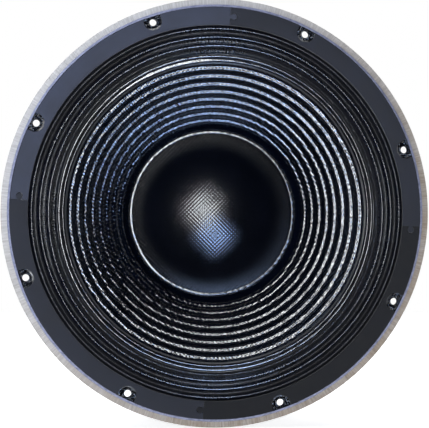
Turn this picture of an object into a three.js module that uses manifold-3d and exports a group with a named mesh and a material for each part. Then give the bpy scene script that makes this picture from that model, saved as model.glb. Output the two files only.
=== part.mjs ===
// A 15-inch car subwoofer driver, in millimetres.
//
// The driver's axis is Y. It radiates towards -Y, and +Z is up. The origin is on the axis, in the plane
// of the flange's rear face, which is the face that rests on the baffle. Angles are measured in the
// XZ plane from +X towards +Z, as they appear from the front.

import * as THREE from "three";
import { mergeVertices } from "three/addons/utils/BufferGeometryUtils.js";
import Module from "manifold-3d";

const wasm = await Module();
wasm.setup();

// ---------- driving dimensions ----------

const GAP = 0.3; // left between pieces that touch
const ROUND_STEPS = 48; // facets round the driver's large rings
const SMALL_STEPS = 12; // facets round screws and other small pieces

const ARMS = 8;
const BOLT_HOLES = 8;
const HOLE_ANGLE = 18.6; // of the first bolt hole, in degrees
const ARM_ANGLE = HOLE_ANGLE + 180 / BOLT_HOLES;

// flange of the basket
const RIM_RADIUS = 194.5; // bare turned rim
const RIM_FRONT = -6;
const LIP_OUTER = 188.8;
const LIP_INNER = 186.6;
const LIP_FRONT = -9.6;
const SEAT_INNER = 177.6; // the gasket's seat
const SEAT_FRONT = -6.6;
const RECESS_INNER = 171; // the surround's recess
const RECESS_FRONT = -5.4;
const BODY_RADIUS = 175.5; // goes through the baffle's cut-out
const SKIRT_REAR = 24;
const HOLE_CIRCLE = 181.5;
const HOLE_RADIUS = 3.6;

// lower basket
const CUP_RADIUS = 96;
const CUP_INNER = 86;
const CUP_FRONT = 76;
const SPIDER_SEAT = 79;
const SPIDER_SEAT_RADIUS = 93.5;
const CUP_FLOOR = 92;
const CUP_REAR = 100;
const CUP_BORE = 57;
const ARM_WIDTH = 20;
const ARM_THICKNESS = 5;
const RIB_WIDTH = 5;
const RIB_TOE = 3; // how far the rib stands behind the slab at the flange
const RIB_HEEL = 22; // where the rib turns in to the cup, out from the cup's side
const RIB_HEEL_DEPTH = 82;

// gasket
const GASKET_SEGMENTS = 4;
const GASKET_INNER = 170.2;
const GASKET_OUTER = 185.8;
const GASKET_FRONT = -11;
const NOTCH_RADIUS = 8.35;
const NOTCH_DEPTH = 12;
const TAB_RADIUS = 2.7;
const TAB_REACH = 3.4;
const TAB_NECK = 1.7; // half its width

// cone and surround
const CONE_EDGE = 147;
const CONE_TOP = 137;
const CONE_TOP_FRONT = -3.2;
const CONE_SLOPE = 0.744; // depth gained for each millimetre towards the axis
const CONE_WALL = 2.4;
const RIDGES = 8;
const FIRST_RIDGE = 86.5; // radius of the innermost ridge's crest
const RIDGE_PITCH = 5.99;
const RIDGE_STRETCH = 0.081; // the pitch grows outwards by twice this at each ridge
const RIDGE_HEIGHT = 1.8;
const NECK_INNER = 50.4;
const NECK_OUTER = 51.6;
const NECK_REAR = 69;
const SURROUND_WALL = 0.9;
const SURROUND_INNER = 137.8;
const SURROUND_FLAT = 169.2; // the outer flat's inner edge
const SURROUND_OUTER = 177;
const ROLLS = [150.6, 158.9, 166];
const VALLEYS = [155.4, 163.2];
const ROLL_CREST = -9.2;
const ROLL_VALLEY = -3.9;

// dust cap
const CAP_RADIUS = 75;
const CAP_HEIGHT = 22;
const CAP_WALL = 1.2;
const CAP_GLUE = 0.8; // bead under its edge
const CAP_RINGS = 5;
const CAP_STEPS = 32;

// voice coil
const FORMER_INNER = 49.2;
const FORMER_OUTER = 50;
const FORMER_FRONT = 60;
const FORMER_REAR = 122;
const WINDING_INNER = 50.3;
const WINDING_OUTER = 51.7;
const WINDING_FRONT = 92.5;
const WINDING_REAR = 118;

// spider
const SPIDER_PLANE = 78;
const SPIDER_INNER = 51;
const SPIDER_OUTER = 93;
const SPIDER_WALL = 0.8;
const SPIDER_FLAT_INNER = 56;
const SPIDER_FLAT_OUTER = 84;
const SPIDER_ROLLS = 3;
const SPIDER_ROLL_HEIGHT = 2;
const SPIDER_STEPS = 24;

// motor
const PLATE_RADIUS = 92.5;
const PLATE_BORE = 53.2;
const PLATE_FRONT = CUP_REAR + GAP;
const PLATE_THICKNESS = 10;
const PLATE_CHAMFER = 1.5;
const MAGNET_RADIUS = 100;
const MAGNET_BORE = 60;
const MAGNET_THICKNESS = 26;
const MAGNET_CHAMFER = 2;
const BACK_THICKNESS = 10;
const POLE_RADIUS = 48.4;
const VENT_RADIUS = 16;
const VENT_MOUTH = 22.3;
const VENT_MOUTH_DEPTH = 3.2;
const SCREEN_WALL = 1;
const SCREEN_RECESS = 1.9; // from the back plate's rear face to the screen's
const SHORTING_OUTER = 56;
const SHORTING_THICKNESS = 4.6;

// screws that hold the basket to the top plate
const PLATE_SCREW_CIRCLE = 72;
const PLATE_SCREW_RADIUS = 3;
const PLATE_SCREW_HEAD = 5;
const PLATE_SCREW_HEAD_HEIGHT = 5.5;
const PLATE_SCREW_LENGTH = 16;

// terminals: they stand on the basket's side between two arms
const TERMINAL_ANGLE = HOLE_ANGLE + 135;
const TERMINAL_DEPTH = 90; // along the driver's axis
const TERMINAL_SPACING = 18;
const BOSS_SPACING = 44;
const BOSS_SIZE = 8;
const BOSS_FACE = 104; // distance of the bosses' outer faces from the axis
const BOARD_THICKNESS = 3;
const BOARD_LENGTH = 54;
const BOARD_WIDTH = 18;
const TAIL_RADIUS = 1.2;
const TAIL_LENGTH = 3.6;
const POST_FLANGE_RADIUS = 5;
const POST_FLANGE = 2;
const POST_RADIUS = 2.6;
const POST_LENGTH = 12;
const WIRE_HOLE_RADIUS = 1.1;
const BUTTON_RADIUS = 5.5;
const BUTTON_BORE = 2.95;
const BUTTON_TRAVEL = 3;
const BUTTON_TOP = 2;
const BUTTON_SPRING_LENGTH = 7;
const BUTTON_SPRING_RADIUS = 1.9;
const BUTTON_SPRING_WIRE = 0.3;
const BUTTON_SPRING_TURNS = 4;
const BOARD_SCREW_RADIUS = 1.5;
const BOARD_SCREW_HEAD_HEIGHT = 2;
const BOARD_SCREW_LENGTH = 9;

// leads from the voice coil to the terminals
const LEAD_RADIUS = 1.1;
const LEAD_SIDES = 6;
const LEAD_STEPS = 26;

// ---------- materials ----------

const paint = (color, roughness, metalness) =>
  new THREE.MeshStandardMaterial({ color, roughness, metalness });

const MATERIALS = {
  basket: paint(0x1b1d22, 0.45, 0.6),
  gasket: paint(0x3c3e48, 0.9, 0),
  cone: paint(0x0c0d12, 0.5, 0),
  surround: paint(0x0e1016, 0.45, 0),
  cap: paint(0x0b0c11, 0.8, 0),
  spider: paint(0x8a6a34, 0.9, 0),
  former: paint(0xb08f4a, 0.5, 0),
  copper: paint(0xb0602c, 0.35, 1),
  steel: paint(0x15161a, 0.4, 0.8),
  zinc: paint(0xa8a9ab, 0.35, 1),
  ferrite: paint(0x2b2b2e, 0.7, 0.1),
  aluminium: paint(0xb5b6b8, 0.35, 1),
  board: paint(0x1c1a18, 0.6, 0),
  nickel: paint(0xc2bfb6, 0.25, 1),
  red: paint(0xa01818, 0.4, 0),
  black: paint(0x121214, 0.4, 0),
  lead: paint(0x9a7b4c, 0.6, 0.5),
};

// ---------- helpers ----------

const radians = (degrees) => (degrees * Math.PI) / 180;
const point = (x, y) => new THREE.Vector2(x, y);

function toSolid(geometry) {
  const bare = geometry.clone();
  bare.deleteAttribute("normal");
  bare.deleteAttribute("uv");
  const merged = mergeVertices(bare, 1e-3);
  return new wasm.Manifold(
    new wasm.Mesh({
      numProp: 3,
      vertProperties: merged.attributes.position.array,
      triVerts: new Uint32Array(merged.index.array),
    }),
  );
}

function toGeometry(solid) {
  const mesh = solid.getMesh();
  const geometry = new THREE.BufferGeometry();
  geometry.setAttribute("position", new THREE.BufferAttribute(mesh.vertProperties, 3));
  geometry.setIndex(new THREE.BufferAttribute(mesh.triVerts, 1));
  geometry.computeVertexNormals();
  return geometry;
}

// Adds the geometries in the first list together and cuts away those in the second.
function combine(added, cut = []) {
  let solid = toSolid(added[0]);
  for (const geometry of added.slice(1)) solid = solid.add(toSolid(geometry));
  for (const geometry of cut) solid = solid.subtract(toSolid(geometry));
  return toGeometry(solid);
}

// Turns an outline of [radius, depth] pairs round the driver's axis. The outline runs round the
// section in either direction.
function turned(outline, steps = ROUND_STEPS) {
  const area = THREE.ShapeUtils.area(outline.map(([r, y]) => point(r, y)));
  const ordered = area < 0 ? [...outline].reverse() : outline;
  const profile = [...ordered, ordered[0]].map(([r, y]) => point(r, y));
  return new THREE.LatheGeometry(profile, steps);
}

const ring = (inner, outer, front, rear, steps = ROUND_STEPS) =>
  turned([[inner, front], [outer, front], [outer, rear], [inner, rear]], steps);

// A pin along +Y from depth `from` to depth `to`.
function pin(radius, from, to, steps = SMALL_STEPS) {
  const cylinder = new THREE.CylinderGeometry(radius, radius, to - from, steps);
  return cylinder.translate(0, (from + to) / 2, 0);
}

// Moves a piece made on the driver's axis out to a radius, at an angle seen from the front.
const outTo = (geometry, radius, angle) =>
  geometry.translate(radius, 0, 0).rotateY(-radians(angle));

function arc(centre, radius, from, to, steps) {
  return Array.from({ length: steps + 1 }, (_, i) => {
    const angle = radians(from + ((to - from) * i) / steps);
    return point(centre.x + radius * Math.cos(angle), centre.y + radius * Math.sin(angle));
  });
}

// ---------- basket ----------

const ARM_TOP = point(RECESS_INNER + 1, SKIRT_REAR - 6);
const ARM_FOOT = point(CUP_RADIUS - 3, CUP_FRONT + 1);
const RIB_REAR = CUP_REAR - 2;

// One arm of the basket, in the plane of X (outwards) and Y (backwards): a slab with a rib behind it.
// Both ends go into the skirt and the cup.
function armPieces() {
  const [top, foot] = [ARM_TOP, ARM_FOOT];
  const slab = [top, foot, point(foot.x, foot.y + ARM_THICKNESS), point(top.x, top.y + ARM_THICKNESS)];
  const rib = [
    point(top.x + 2, top.y - 4),
    top,
    foot,
    point(foot.x, RIB_REAR),
    point(CUP_RADIUS + 4, RIB_REAR),
    point(CUP_RADIUS + RIB_HEEL, RIB_HEEL_DEPTH),
    point(top.x + 2, top.y + ARM_THICKNESS + RIB_TOE),
  ];
  return [[slab, ARM_WIDTH], [rib, RIB_WIDTH]].map(([outline, width]) =>
    new THREE.ExtrudeGeometry(new THREE.Shape(outline), { depth: width, bevelEnabled: false })
      .translate(0, 0, -width / 2),
  );
}

function terminalBosses() {
  const inner = CUP_RADIUS - 6;
  return [-1, 1].map((side) =>
    new THREE.BoxGeometry(BOSS_FACE - inner, BOARD_WIDTH - 2, BOSS_SIZE)
      .translate((BOSS_FACE + inner) / 2, TERMINAL_DEPTH, (side * BOSS_SPACING) / 2),
  );
}

// The hole in each boss for its screw, which runs along the boss from outside.
function bossHoles() {
  return [-1, 1].map((side) =>
    pin(BOARD_SCREW_RADIUS + GAP, -8, 2)
      .rotateZ(-Math.PI / 2)
      .translate(BOSS_FACE, TERMINAL_DEPTH, (side * BOSS_SPACING) / 2),
  );
}

function basket() {
  const flange = turned([
    [RIM_RADIUS, RIM_FRONT],
    [RIM_RADIUS, 0],
    [BODY_RADIUS, 0],
    [BODY_RADIUS - 2, SKIRT_REAR],
    [RECESS_INNER - 4, SKIRT_REAR],
    [RECESS_INNER, RECESS_FRONT],
    [SEAT_INNER, RECESS_FRONT],
    [SEAT_INNER, SEAT_FRONT],
    [LIP_INNER, SEAT_FRONT],
    [LIP_INNER, LIP_FRONT],
    [LIP_OUTER, LIP_FRONT],
    [LIP_OUTER, RIM_FRONT],
  ]);
  const cup = turned([
    [SPIDER_SEAT_RADIUS, CUP_FRONT],
    [CUP_RADIUS, CUP_FRONT],
    [CUP_RADIUS, CUP_REAR],
    [CUP_BORE, CUP_REAR],
    [CUP_BORE, CUP_FLOOR],
    [CUP_INNER, CUP_FLOOR],
    [CUP_INNER, SPIDER_SEAT],
    [SPIDER_SEAT_RADIUS, SPIDER_SEAT],
  ]);
  const added = [flange, cup];
  for (let i = 0; i < ARMS; i++)
    for (const piece of armPieces()) added.push(piece.rotateY(-radians(ARM_ANGLE + (360 / ARMS) * i)));
  for (const boss of terminalBosses()) added.push(boss.rotateY(-radians(TERMINAL_ANGLE)));

  const cut = bossHoles().map((hole) => hole.rotateY(-radians(TERMINAL_ANGLE)));
  for (let i = 0; i < BOLT_HOLES; i++)
    cut.push(outTo(pin(HOLE_RADIUS, -12, 6), HOLE_CIRCLE, HOLE_ANGLE + (360 / BOLT_HOLES) * i));
  for (let i = 0; i < ARMS; i++)
    cut.push(outTo(pin(PLATE_SCREW_RADIUS + GAP, 80, 110), PLATE_SCREW_CIRCLE, ARM_ANGLE + (360 / ARMS) * i));
  return combine(added, cut);
}

// ---------- gasket ----------

// The outline of one gasket segment, seen from the front. It runs from `start` to `start + 90`
// degrees. Its clockwise end has a round tab, and its other end the socket for its neighbour's tab.
function gasketOutline(start) {
  const sweep = 360 / GASKET_SEGMENTS;
  const holeStep = 360 / BOLT_HOLES;
  const centre = point(0, 0);
  const middle = (GASKET_INNER + GASKET_OUTER) / 2;
  const cutAngle = (GAP / 2 / middle) * (180 / Math.PI);
  const notchHalf = (NOTCH_RADIUS / GASKET_OUTER) * (180 / Math.PI);

  const outline = [];
  let from = start + cutAngle;
  for (let i = 0; i < sweep / holeStep; i++) {
    const at = start + holeStep / 2 + i * holeStep;
    outline.push(...arc(centre, GASKET_OUTER, from, at - notchHalf, 4));
    const apex = GASKET_OUTER - NOTCH_DEPTH + NOTCH_RADIUS;
    const bowl = point(apex * Math.cos(radians(at)), apex * Math.sin(radians(at)));
    outline.push(...arc(bowl, NOTCH_RADIUS, at - 90, at - 270, 8));
    from = at + notchHalf;
  }
  const end = start + sweep - cutAngle;
  outline.push(...arc(centre, GASKET_OUTER, from, end, 4));
  outline.push(...tabEdge(end, middle, TAB_NECK + GAP, TAB_RADIUS + GAP, true));
  outline.push(...arc(centre, GASKET_INNER, end, start + cutAngle, 12));
  outline.push(...tabEdge(start + cutAngle, middle, TAB_NECK, TAB_RADIUS, false));
  return outline;
}

// The part of an end's outline that goes round the tab (or its socket), which reaches clockwise.
function tabEdge(angle, middle, neck, radius, inwards) {
  const along = point(Math.sin(radians(angle)), -Math.cos(radians(angle)));
  const root = point(middle * Math.cos(radians(angle)), middle * Math.sin(radians(angle)));
  const head = point(root.x + along.x * TAB_REACH, root.y + along.y * TAB_REACH);
  const open = (Math.asin(neck / radius) * 180) / Math.PI;
  const back = angle + 90;
  const round = arc(head, radius, back - 360 + open, back - open, 8);
  return inwards ? [offsetRoot(root, angle, neck), ...round.reverse(), offsetRoot(root, angle, -neck)]
    : [offsetRoot(root, angle, -neck), ...round, offsetRoot(root, angle, neck)];
}

const offsetRoot = (root, angle, distance) =>
  point(root.x + distance * Math.cos(radians(angle)), root.y + distance * Math.sin(radians(angle)));

function gasketSegment(start) {
  const rear = SEAT_FRONT - GAP;
  return new THREE.ExtrudeGeometry(new THREE.Shape(gasketOutline(start)), {
    depth: rear - GASKET_FRONT,
    bevelEnabled: false,
  })
    .rotateX(Math.PI / 2)
    .translate(0, rear, 0);
}

// ---------- cone, surround, dust cap and spider ----------

const coneFront = (radius) => CONE_TOP_FRONT + (CONE_TOP - radius) * CONE_SLOPE;
const ridgeRadius = (i) => FIRST_RIDGE + RIDGE_PITCH * i + RIDGE_STRETCH * i ** 2;

function cone() {
  const front = [[CONE_EDGE, CONE_TOP_FRONT], [CONE_TOP, CONE_TOP_FRONT]];
  for (let i = RIDGES - 1; i >= 0; i--) {
    const crest = ridgeRadius(i);
    const valley = ridgeRadius(i - 0.5);
    front.push([crest, coneFront(crest) - RIDGE_HEIGHT / 2]);
    front.push([valley, coneFront(valley) + RIDGE_HEIGHT / 2]);
  }
  front.push([NECK_INNER, coneFront(NECK_INNER)]);
  const rear = [
    [NECK_INNER, NECK_REAR],
    [NECK_OUTER, NECK_REAR],
    [NECK_OUTER, coneFront(NECK_OUTER) + CONE_WALL],
    [CONE_TOP - 1, coneFront(CONE_TOP - 1) + CONE_WALL],
    [CONE_EDGE, CONE_TOP_FRONT + 1],
  ];
  return turned([...front, ...rear]);
}

// A thin sheet: the front outline, and the same outline moved back by the wall.
const sheet = (front, wall, steps) =>
  turned([...front, ...[...front].reverse().map(([r, y]) => [r, y + wall])], steps);

function surround() {
  const outerRest = RECESS_FRONT - GAP - SURROUND_WALL;
  const innerRest = CONE_TOP_FRONT - GAP - SURROUND_WALL;
  const front = [[SURROUND_INNER, innerRest], [CONE_EDGE, innerRest]];
  ROLLS.forEach((crest, i) => {
    front.push([crest, ROLL_CREST]);
    if (i < VALLEYS.length) front.push([VALLEYS[i], ROLL_VALLEY]);
  });
  front.push([SURROUND_FLAT, outerRest], [SURROUND_OUTER, outerRest]);
  return sheet(front, SURROUND_WALL);
}

function dustCap() {
  const edge = coneFront(CAP_RADIUS) - GAP - CAP_WALL - CAP_GLUE;
  const curve = (CAP_RADIUS ** 2 + CAP_HEIGHT ** 2) / (2 * CAP_HEIGHT);
  const front = [];
  for (let i = CAP_RINGS; i > 0; i--) {
    const r = (CAP_RADIUS * i) / CAP_RINGS;
    front.push([r, edge + (curve - CAP_HEIGHT) - Math.sqrt(curve ** 2 - r ** 2)]);
  }
  const apex = edge - CAP_HEIGHT;
  const profile = [
    [0, apex + CAP_WALL],
    ...[...front].reverse().map(([r, y]) => [r, y + CAP_WALL]),
    ...front,
    [0, apex],
  ].map(([r, y]) => point(r, y));
  return new THREE.LatheGeometry(profile.reverse(), CAP_STEPS);
}

function spider() {
  const front = [[SPIDER_INNER, SPIDER_PLANE], [SPIDER_FLAT_INNER, SPIDER_PLANE]];
  const pitch = (SPIDER_FLAT_OUTER - SPIDER_FLAT_INNER) / SPIDER_ROLLS;
  for (let i = 0; i < SPIDER_ROLLS; i++) {
    const r = SPIDER_FLAT_INNER + pitch * i;
    front.push([r + pitch / 4, SPIDER_PLANE - SPIDER_ROLL_HEIGHT]);
    front.push([r + (3 * pitch) / 4, SPIDER_PLANE + SPIDER_ROLL_HEIGHT]);
  }
  const rest = SPIDER_SEAT - GAP - SPIDER_WALL;
  front.push([SPIDER_FLAT_OUTER + 1, rest], [SPIDER_OUTER, rest]);
  return sheet(front, SPIDER_WALL, SPIDER_STEPS);
}

// ---------- motor ----------

const MAGNET_FRONT = PLATE_FRONT + PLATE_THICKNESS + GAP;
const BACK_FRONT = MAGNET_FRONT + MAGNET_THICKNESS + GAP;
const BACK_REAR = BACK_FRONT + BACK_THICKNESS;

// A ring whose outer edges are chamfered.
const chamferedRing = (inner, outer, front, rear, chamfer) =>
  turned([
    [inner, front],
    [outer - chamfer, front],
    [outer, front + chamfer],
    [outer, rear - chamfer],
    [outer - chamfer, rear],
    [inner, rear],
  ]);

function topPlate() {
  const rear = PLATE_FRONT + PLATE_THICKNESS;
  const plate = chamferedRing(PLATE_BORE, PLATE_RADIUS, PLATE_FRONT, rear, PLATE_CHAMFER);
  const holes = Array.from({ length: ARMS }, (_, i) =>
    outTo(
      pin(PLATE_SCREW_RADIUS + GAP, PLATE_FRONT - 2, rear + 2),
      PLATE_SCREW_CIRCLE,
      ARM_ANGLE + (360 / ARMS) * i,
    ),
  );
  return combine([plate], holes);
}

// Back plate and vented pole in one forging.
function yoke() {
  return turned([
    [VENT_RADIUS, PLATE_FRONT],
    [POLE_RADIUS, PLATE_FRONT],
    [POLE_RADIUS, BACK_FRONT],
    [PLATE_RADIUS, BACK_FRONT],
    [PLATE_RADIUS, BACK_REAR - PLATE_CHAMFER],
    [PLATE_RADIUS - PLATE_CHAMFER, BACK_REAR],
    [VENT_MOUTH, BACK_REAR],
    [VENT_MOUTH, BACK_REAR - VENT_MOUTH_DEPTH],
    [VENT_RADIUS, BACK_REAR - VENT_MOUTH_DEPTH],
  ]);
}

function plateScrew() {
  const headRear = CUP_FLOOR - GAP;
  return combine([
    pin(PLATE_SCREW_HEAD, headRear - PLATE_SCREW_HEAD_HEIGHT, headRear),
    pin(PLATE_SCREW_RADIUS, headRear - 1, headRear + PLATE_SCREW_LENGTH),
  ]);
}

// ---------- terminals ----------
// Each piece is made on the Y axis with its outer end towards +Y, measured from the driver's axis,
// and then turned so that +Y points away from the driver's axis at the terminal's place.

function atTerminal(geometry, offset) {
  return geometry
    .rotateZ(-Math.PI / 2)
    .translate(0, TERMINAL_DEPTH, offset)
    .rotateY(-radians(TERMINAL_ANGLE));
}

const BOARD_INNER = BOSS_FACE + GAP;
const BOARD_OUTER = BOARD_INNER + BOARD_THICKNESS;
const POST_BASE = BOARD_OUTER + GAP;
const POST_TOP = POST_BASE + POST_FLANGE + POST_LENGTH;
const BUTTON_BASE = POST_BASE + POST_FLANGE + GAP + BUTTON_TRAVEL;
const BUTTON_ROOF = POST_TOP + GAP + BUTTON_SPRING_LENGTH;
const WIRE_HOLE = POST_BASE + POST_FLANGE + 5;

function terminalBoard() {
  const board = new THREE.BoxGeometry(BOARD_WIDTH, BOARD_THICKNESS, BOARD_LENGTH)
    .translate(0, (BOARD_INNER + BOARD_OUTER) / 2, 0);
  const hole = (radius, offset) => pin(radius, BOARD_INNER - 1, BOARD_OUTER + 1).translate(0, 0, offset);
  const holes = [-1, 1].flatMap((side) => [
    hole(TAIL_RADIUS + GAP, (side * TERMINAL_SPACING) / 2),
    hole(BOARD_SCREW_RADIUS + GAP, (side * BOSS_SPACING) / 2),
  ]);
  return combine([board], holes);
}

function boardScrew() {
  const headBase = BOARD_OUTER + GAP;
  return combine([
    pin(2 * BOARD_SCREW_RADIUS, headBase, headBase + BOARD_SCREW_HEAD_HEIGHT),
    pin(BOARD_SCREW_RADIUS, headBase - BOARD_SCREW_LENGTH, headBase + 1),
  ]);
}

const wireHole = (radius, distance) =>
  pin(radius, -BUTTON_RADIUS - 1, BUTTON_RADIUS + 1).rotateZ(Math.PI / 2).translate(0, distance, 0);

function terminalPost() {
  const added = [
    pin(TAIL_RADIUS, BOARD_INNER - TAIL_LENGTH, POST_BASE + 1),
    pin(POST_FLANGE_RADIUS, POST_BASE, POST_BASE + POST_FLANGE),
    pin(POST_RADIUS, POST_BASE + 1, POST_TOP),
  ];
  return combine(added, [wireHole(WIRE_HOLE_RADIUS, WIRE_HOLE)]);
}

// The push button: a sleeve over the post, closed at its outer end. Its cross hole meets the post's
// when it is pushed in.
function terminalButton() {
  const body = pin(BUTTON_RADIUS, BUTTON_BASE, BUTTON_ROOF + BUTTON_TOP, 16);
  const bore = pin(BUTTON_BORE, BUTTON_BASE - 1, BUTTON_ROOF);
  return combine([body], [bore, wireHole(WIRE_HOLE_RADIUS, WIRE_HOLE + BUTTON_TRAVEL)]);
}

class Helix extends THREE.Curve {
  constructor(radius, from, to, turns) {
    super();
    Object.assign(this, { radius, from, to, turns });
  }
  getPoint(t, target = new THREE.Vector3()) {
    const angle = 2 * Math.PI * this.turns * t;
    const height = this.from + (this.to - this.from) * t;
    return target.set(this.radius * Math.cos(angle), height, this.radius * Math.sin(angle));
  }
}

function tube(curve, radius, sides, steps) {
  const section = new THREE.Shape(arc(point(0, 0), radius, 0, 360 - 360 / sides, sides - 1));
  return new THREE.ExtrudeGeometry(section, { extrudePath: curve, steps, bevelEnabled: false });
}

function terminalSpring() {
  const from = POST_TOP + GAP + BUTTON_SPRING_WIRE;
  const to = BUTTON_ROOF - GAP - BUTTON_SPRING_WIRE;
  const helix = new Helix(BUTTON_SPRING_RADIUS, from, to, BUTTON_SPRING_TURNS);
  return tube(helix, BUTTON_SPRING_WIRE, 5, BUTTON_SPRING_TURNS * 8);
}

// A braided lead from the voice coil's former, between the cone and the spider, over the edge of the
// spider's seat and down to a terminal's tail. Its points are [distance from the axis, depth, offset].
function lead(side) {
  const end = (side * TERMINAL_SPACING) / 2;
  const tailInner = BOARD_INNER - TAIL_LENGTH / 2;
  const route = [
    [FORMER_OUTER + GAP + 0.2, 72, 0.4 * end],
    [57, 70.8, 0.7 * end],
    [66, 68.6, 1.2 * end],
    [76, 68.2, 1.5 * end],
    [86, 69.4, 1.5 * end],
    [94, 71.8, 1.3 * end],
    [99.4, 76, 1.1 * end],
    [tailInner, 82, end],
    [tailInner, TERMINAL_DEPTH - TAIL_RADIUS - GAP, end],
  ].map(([out, depth, offset]) => new THREE.Vector3(out, depth, offset));
  const curve = new THREE.CatmullRomCurve3(route, false, "centripetal");
  return tube(curve, LEAD_RADIUS, LEAD_SIDES, LEAD_STEPS).rotateY(-radians(TERMINAL_ANGLE));
}

// ---------- assembly ----------

const group = new THREE.Group();

function addPart(name, geometry, material) {
  const mesh = new THREE.Mesh(geometry, material);
  mesh.name = name;
  group.add(mesh);
}

addPart("basket", basket(), MATERIALS.basket);
for (let i = 0; i < GASKET_SEGMENTS; i++) {
  const start = HOLE_ANGLE - 180 / BOLT_HOLES + (360 / GASKET_SEGMENTS) * i;
  addPart(`gasket_segment_${i + 1}`, gasketSegment(start), MATERIALS.gasket);
}

addPart("cone", cone(), MATERIALS.cone);
addPart("surround", surround(), MATERIALS.surround);
addPart("dust_cap", dustCap(), MATERIALS.cap);
addPart("spider", spider(), MATERIALS.spider);
addPart("coil_former", ring(FORMER_INNER, FORMER_OUTER, FORMER_FRONT, FORMER_REAR), MATERIALS.former);
addPart(
  "coil_winding",
  ring(WINDING_INNER, WINDING_OUTER, WINDING_FRONT, WINDING_REAR),
  MATERIALS.copper,
);

addPart("top_plate", topPlate(), MATERIALS.steel);
addPart(
  "magnet",
  chamferedRing(MAGNET_BORE, MAGNET_RADIUS, MAGNET_FRONT, MAGNET_FRONT + MAGNET_THICKNESS, MAGNET_CHAMFER),
  MATERIALS.ferrite,
);
addPart("back_plate_and_pole", yoke(), MATERIALS.steel);
addPart(
  "shorting_ring",
  ring(POLE_RADIUS + GAP, SHORTING_OUTER, BACK_FRONT - GAP - SHORTING_THICKNESS, BACK_FRONT - GAP),
  MATERIALS.aluminium,
);
const screenRear = BACK_REAR - SCREEN_RECESS;
const ventScreen = pin(VENT_MOUTH - GAP, screenRear - SCREEN_WALL, screenRear, 2 * SMALL_STEPS);
addPart("vent_screen", ventScreen, MATERIALS.zinc);
for (let i = 0; i < ARMS; i++) {
  const angle = ARM_ANGLE + (360 / ARMS) * i;
  addPart(`plate_screw_${i + 1}`, outTo(plateScrew(), PLATE_SCREW_CIRCLE, angle), MATERIALS.zinc);
}

addPart("terminal_board", atTerminal(terminalBoard(), 0), MATERIALS.board);
const poles = [["positive", 1, MATERIALS.red], ["negative", -1, MATERIALS.black]];
for (const [pole, side, colour] of poles) {
  const offset = (side * TERMINAL_SPACING) / 2;
  addPart(`terminal_post_${pole}`, atTerminal(terminalPost(), offset), MATERIALS.nickel);
  addPart(`terminal_button_${pole}`, atTerminal(terminalButton(), offset), colour);
  addPart(`terminal_spring_${pole}`, atTerminal(terminalSpring(), offset), MATERIALS.nickel);
  addPart(
    `board_screw_${pole}_side`,
    atTerminal(boardScrew(), (side * BOSS_SPACING) / 2),
    MATERIALS.zinc,
  );
  addPart(`coil_lead_${pole}`, lead(side), MATERIALS.lead);
}

export default group;
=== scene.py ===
"""The looks of a 15-inch car subwoofer driver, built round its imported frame.

Everything is in metres, in the frame's own axes: the driver's axis is Y, it radiates towards -Y, and +Z
is up. Angles round the driver are measured in the XZ plane from +X towards +Z, as seen from the front.
"""

import math

import bmesh
import bpy
import numpy as np
from mathutils import Matrix, Vector

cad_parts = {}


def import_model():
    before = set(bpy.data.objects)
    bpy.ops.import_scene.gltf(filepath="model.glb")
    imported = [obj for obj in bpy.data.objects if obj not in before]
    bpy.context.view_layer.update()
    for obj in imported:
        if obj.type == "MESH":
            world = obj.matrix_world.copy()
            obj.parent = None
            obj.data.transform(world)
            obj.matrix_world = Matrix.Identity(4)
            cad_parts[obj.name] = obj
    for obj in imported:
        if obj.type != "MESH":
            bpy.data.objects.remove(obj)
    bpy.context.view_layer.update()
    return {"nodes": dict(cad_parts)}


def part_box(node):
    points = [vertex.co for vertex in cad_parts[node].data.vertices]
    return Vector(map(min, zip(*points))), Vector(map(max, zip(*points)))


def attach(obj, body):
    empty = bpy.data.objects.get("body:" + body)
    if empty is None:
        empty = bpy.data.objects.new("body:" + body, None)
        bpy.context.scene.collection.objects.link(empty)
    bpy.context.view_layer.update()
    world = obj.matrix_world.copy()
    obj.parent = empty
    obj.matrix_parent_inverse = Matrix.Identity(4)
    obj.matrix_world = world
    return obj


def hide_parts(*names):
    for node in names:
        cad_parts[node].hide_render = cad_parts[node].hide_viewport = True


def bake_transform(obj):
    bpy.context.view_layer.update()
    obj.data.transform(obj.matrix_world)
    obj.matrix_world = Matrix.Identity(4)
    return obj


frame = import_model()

MM = 0.001

# ---------- driving dimensions ----------

ARMS = 8
HOLES = 8
HOLE_ANGLE = 18.6  # of the first screw hole, in degrees
HOLE_PITCH = 360 / HOLES
ARM_ANGLE = HOLE_ANGLE + HOLE_PITCH / 2
TERMINAL_ANGLE = HOLE_ANGLE + 3 * HOLE_PITCH
PLATE_SCREWS = 8

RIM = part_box("basket")[1].x
RIM_FRONT = -6 * MM
LIP_OUTER, LIP_INNER, LIP_FRONT = 188.8 * MM, 186.6 * MM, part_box("basket")[0].y
SEAT_INNER, SEAT_FRONT = 177.6 * MM, -6.6 * MM
RECESS_INNER, RECESS_FRONT = 171 * MM, -5.4 * MM
BODY_RADIUS, SKIRT_REAR = 175.5 * MM, 24 * MM
HOLE_CIRCLE, HOLE_RADIUS = 181.5 * MM, 3.6 * MM
PAINT_LINE = -0.4 * MM  # the flange's gloss paint and bare rim are in front of this

CUP_RADIUS, CUP_INNER, CUP_BORE = 96 * MM, 86 * MM, 57 * MM
CUP_FRONT, CUP_FLOOR = 76 * MM, 92 * MM
CUP_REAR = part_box("basket")[1].y
SPIDER_SEAT, SPIDER_SEAT_RADIUS = 79 * MM, 93.5 * MM

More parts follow.
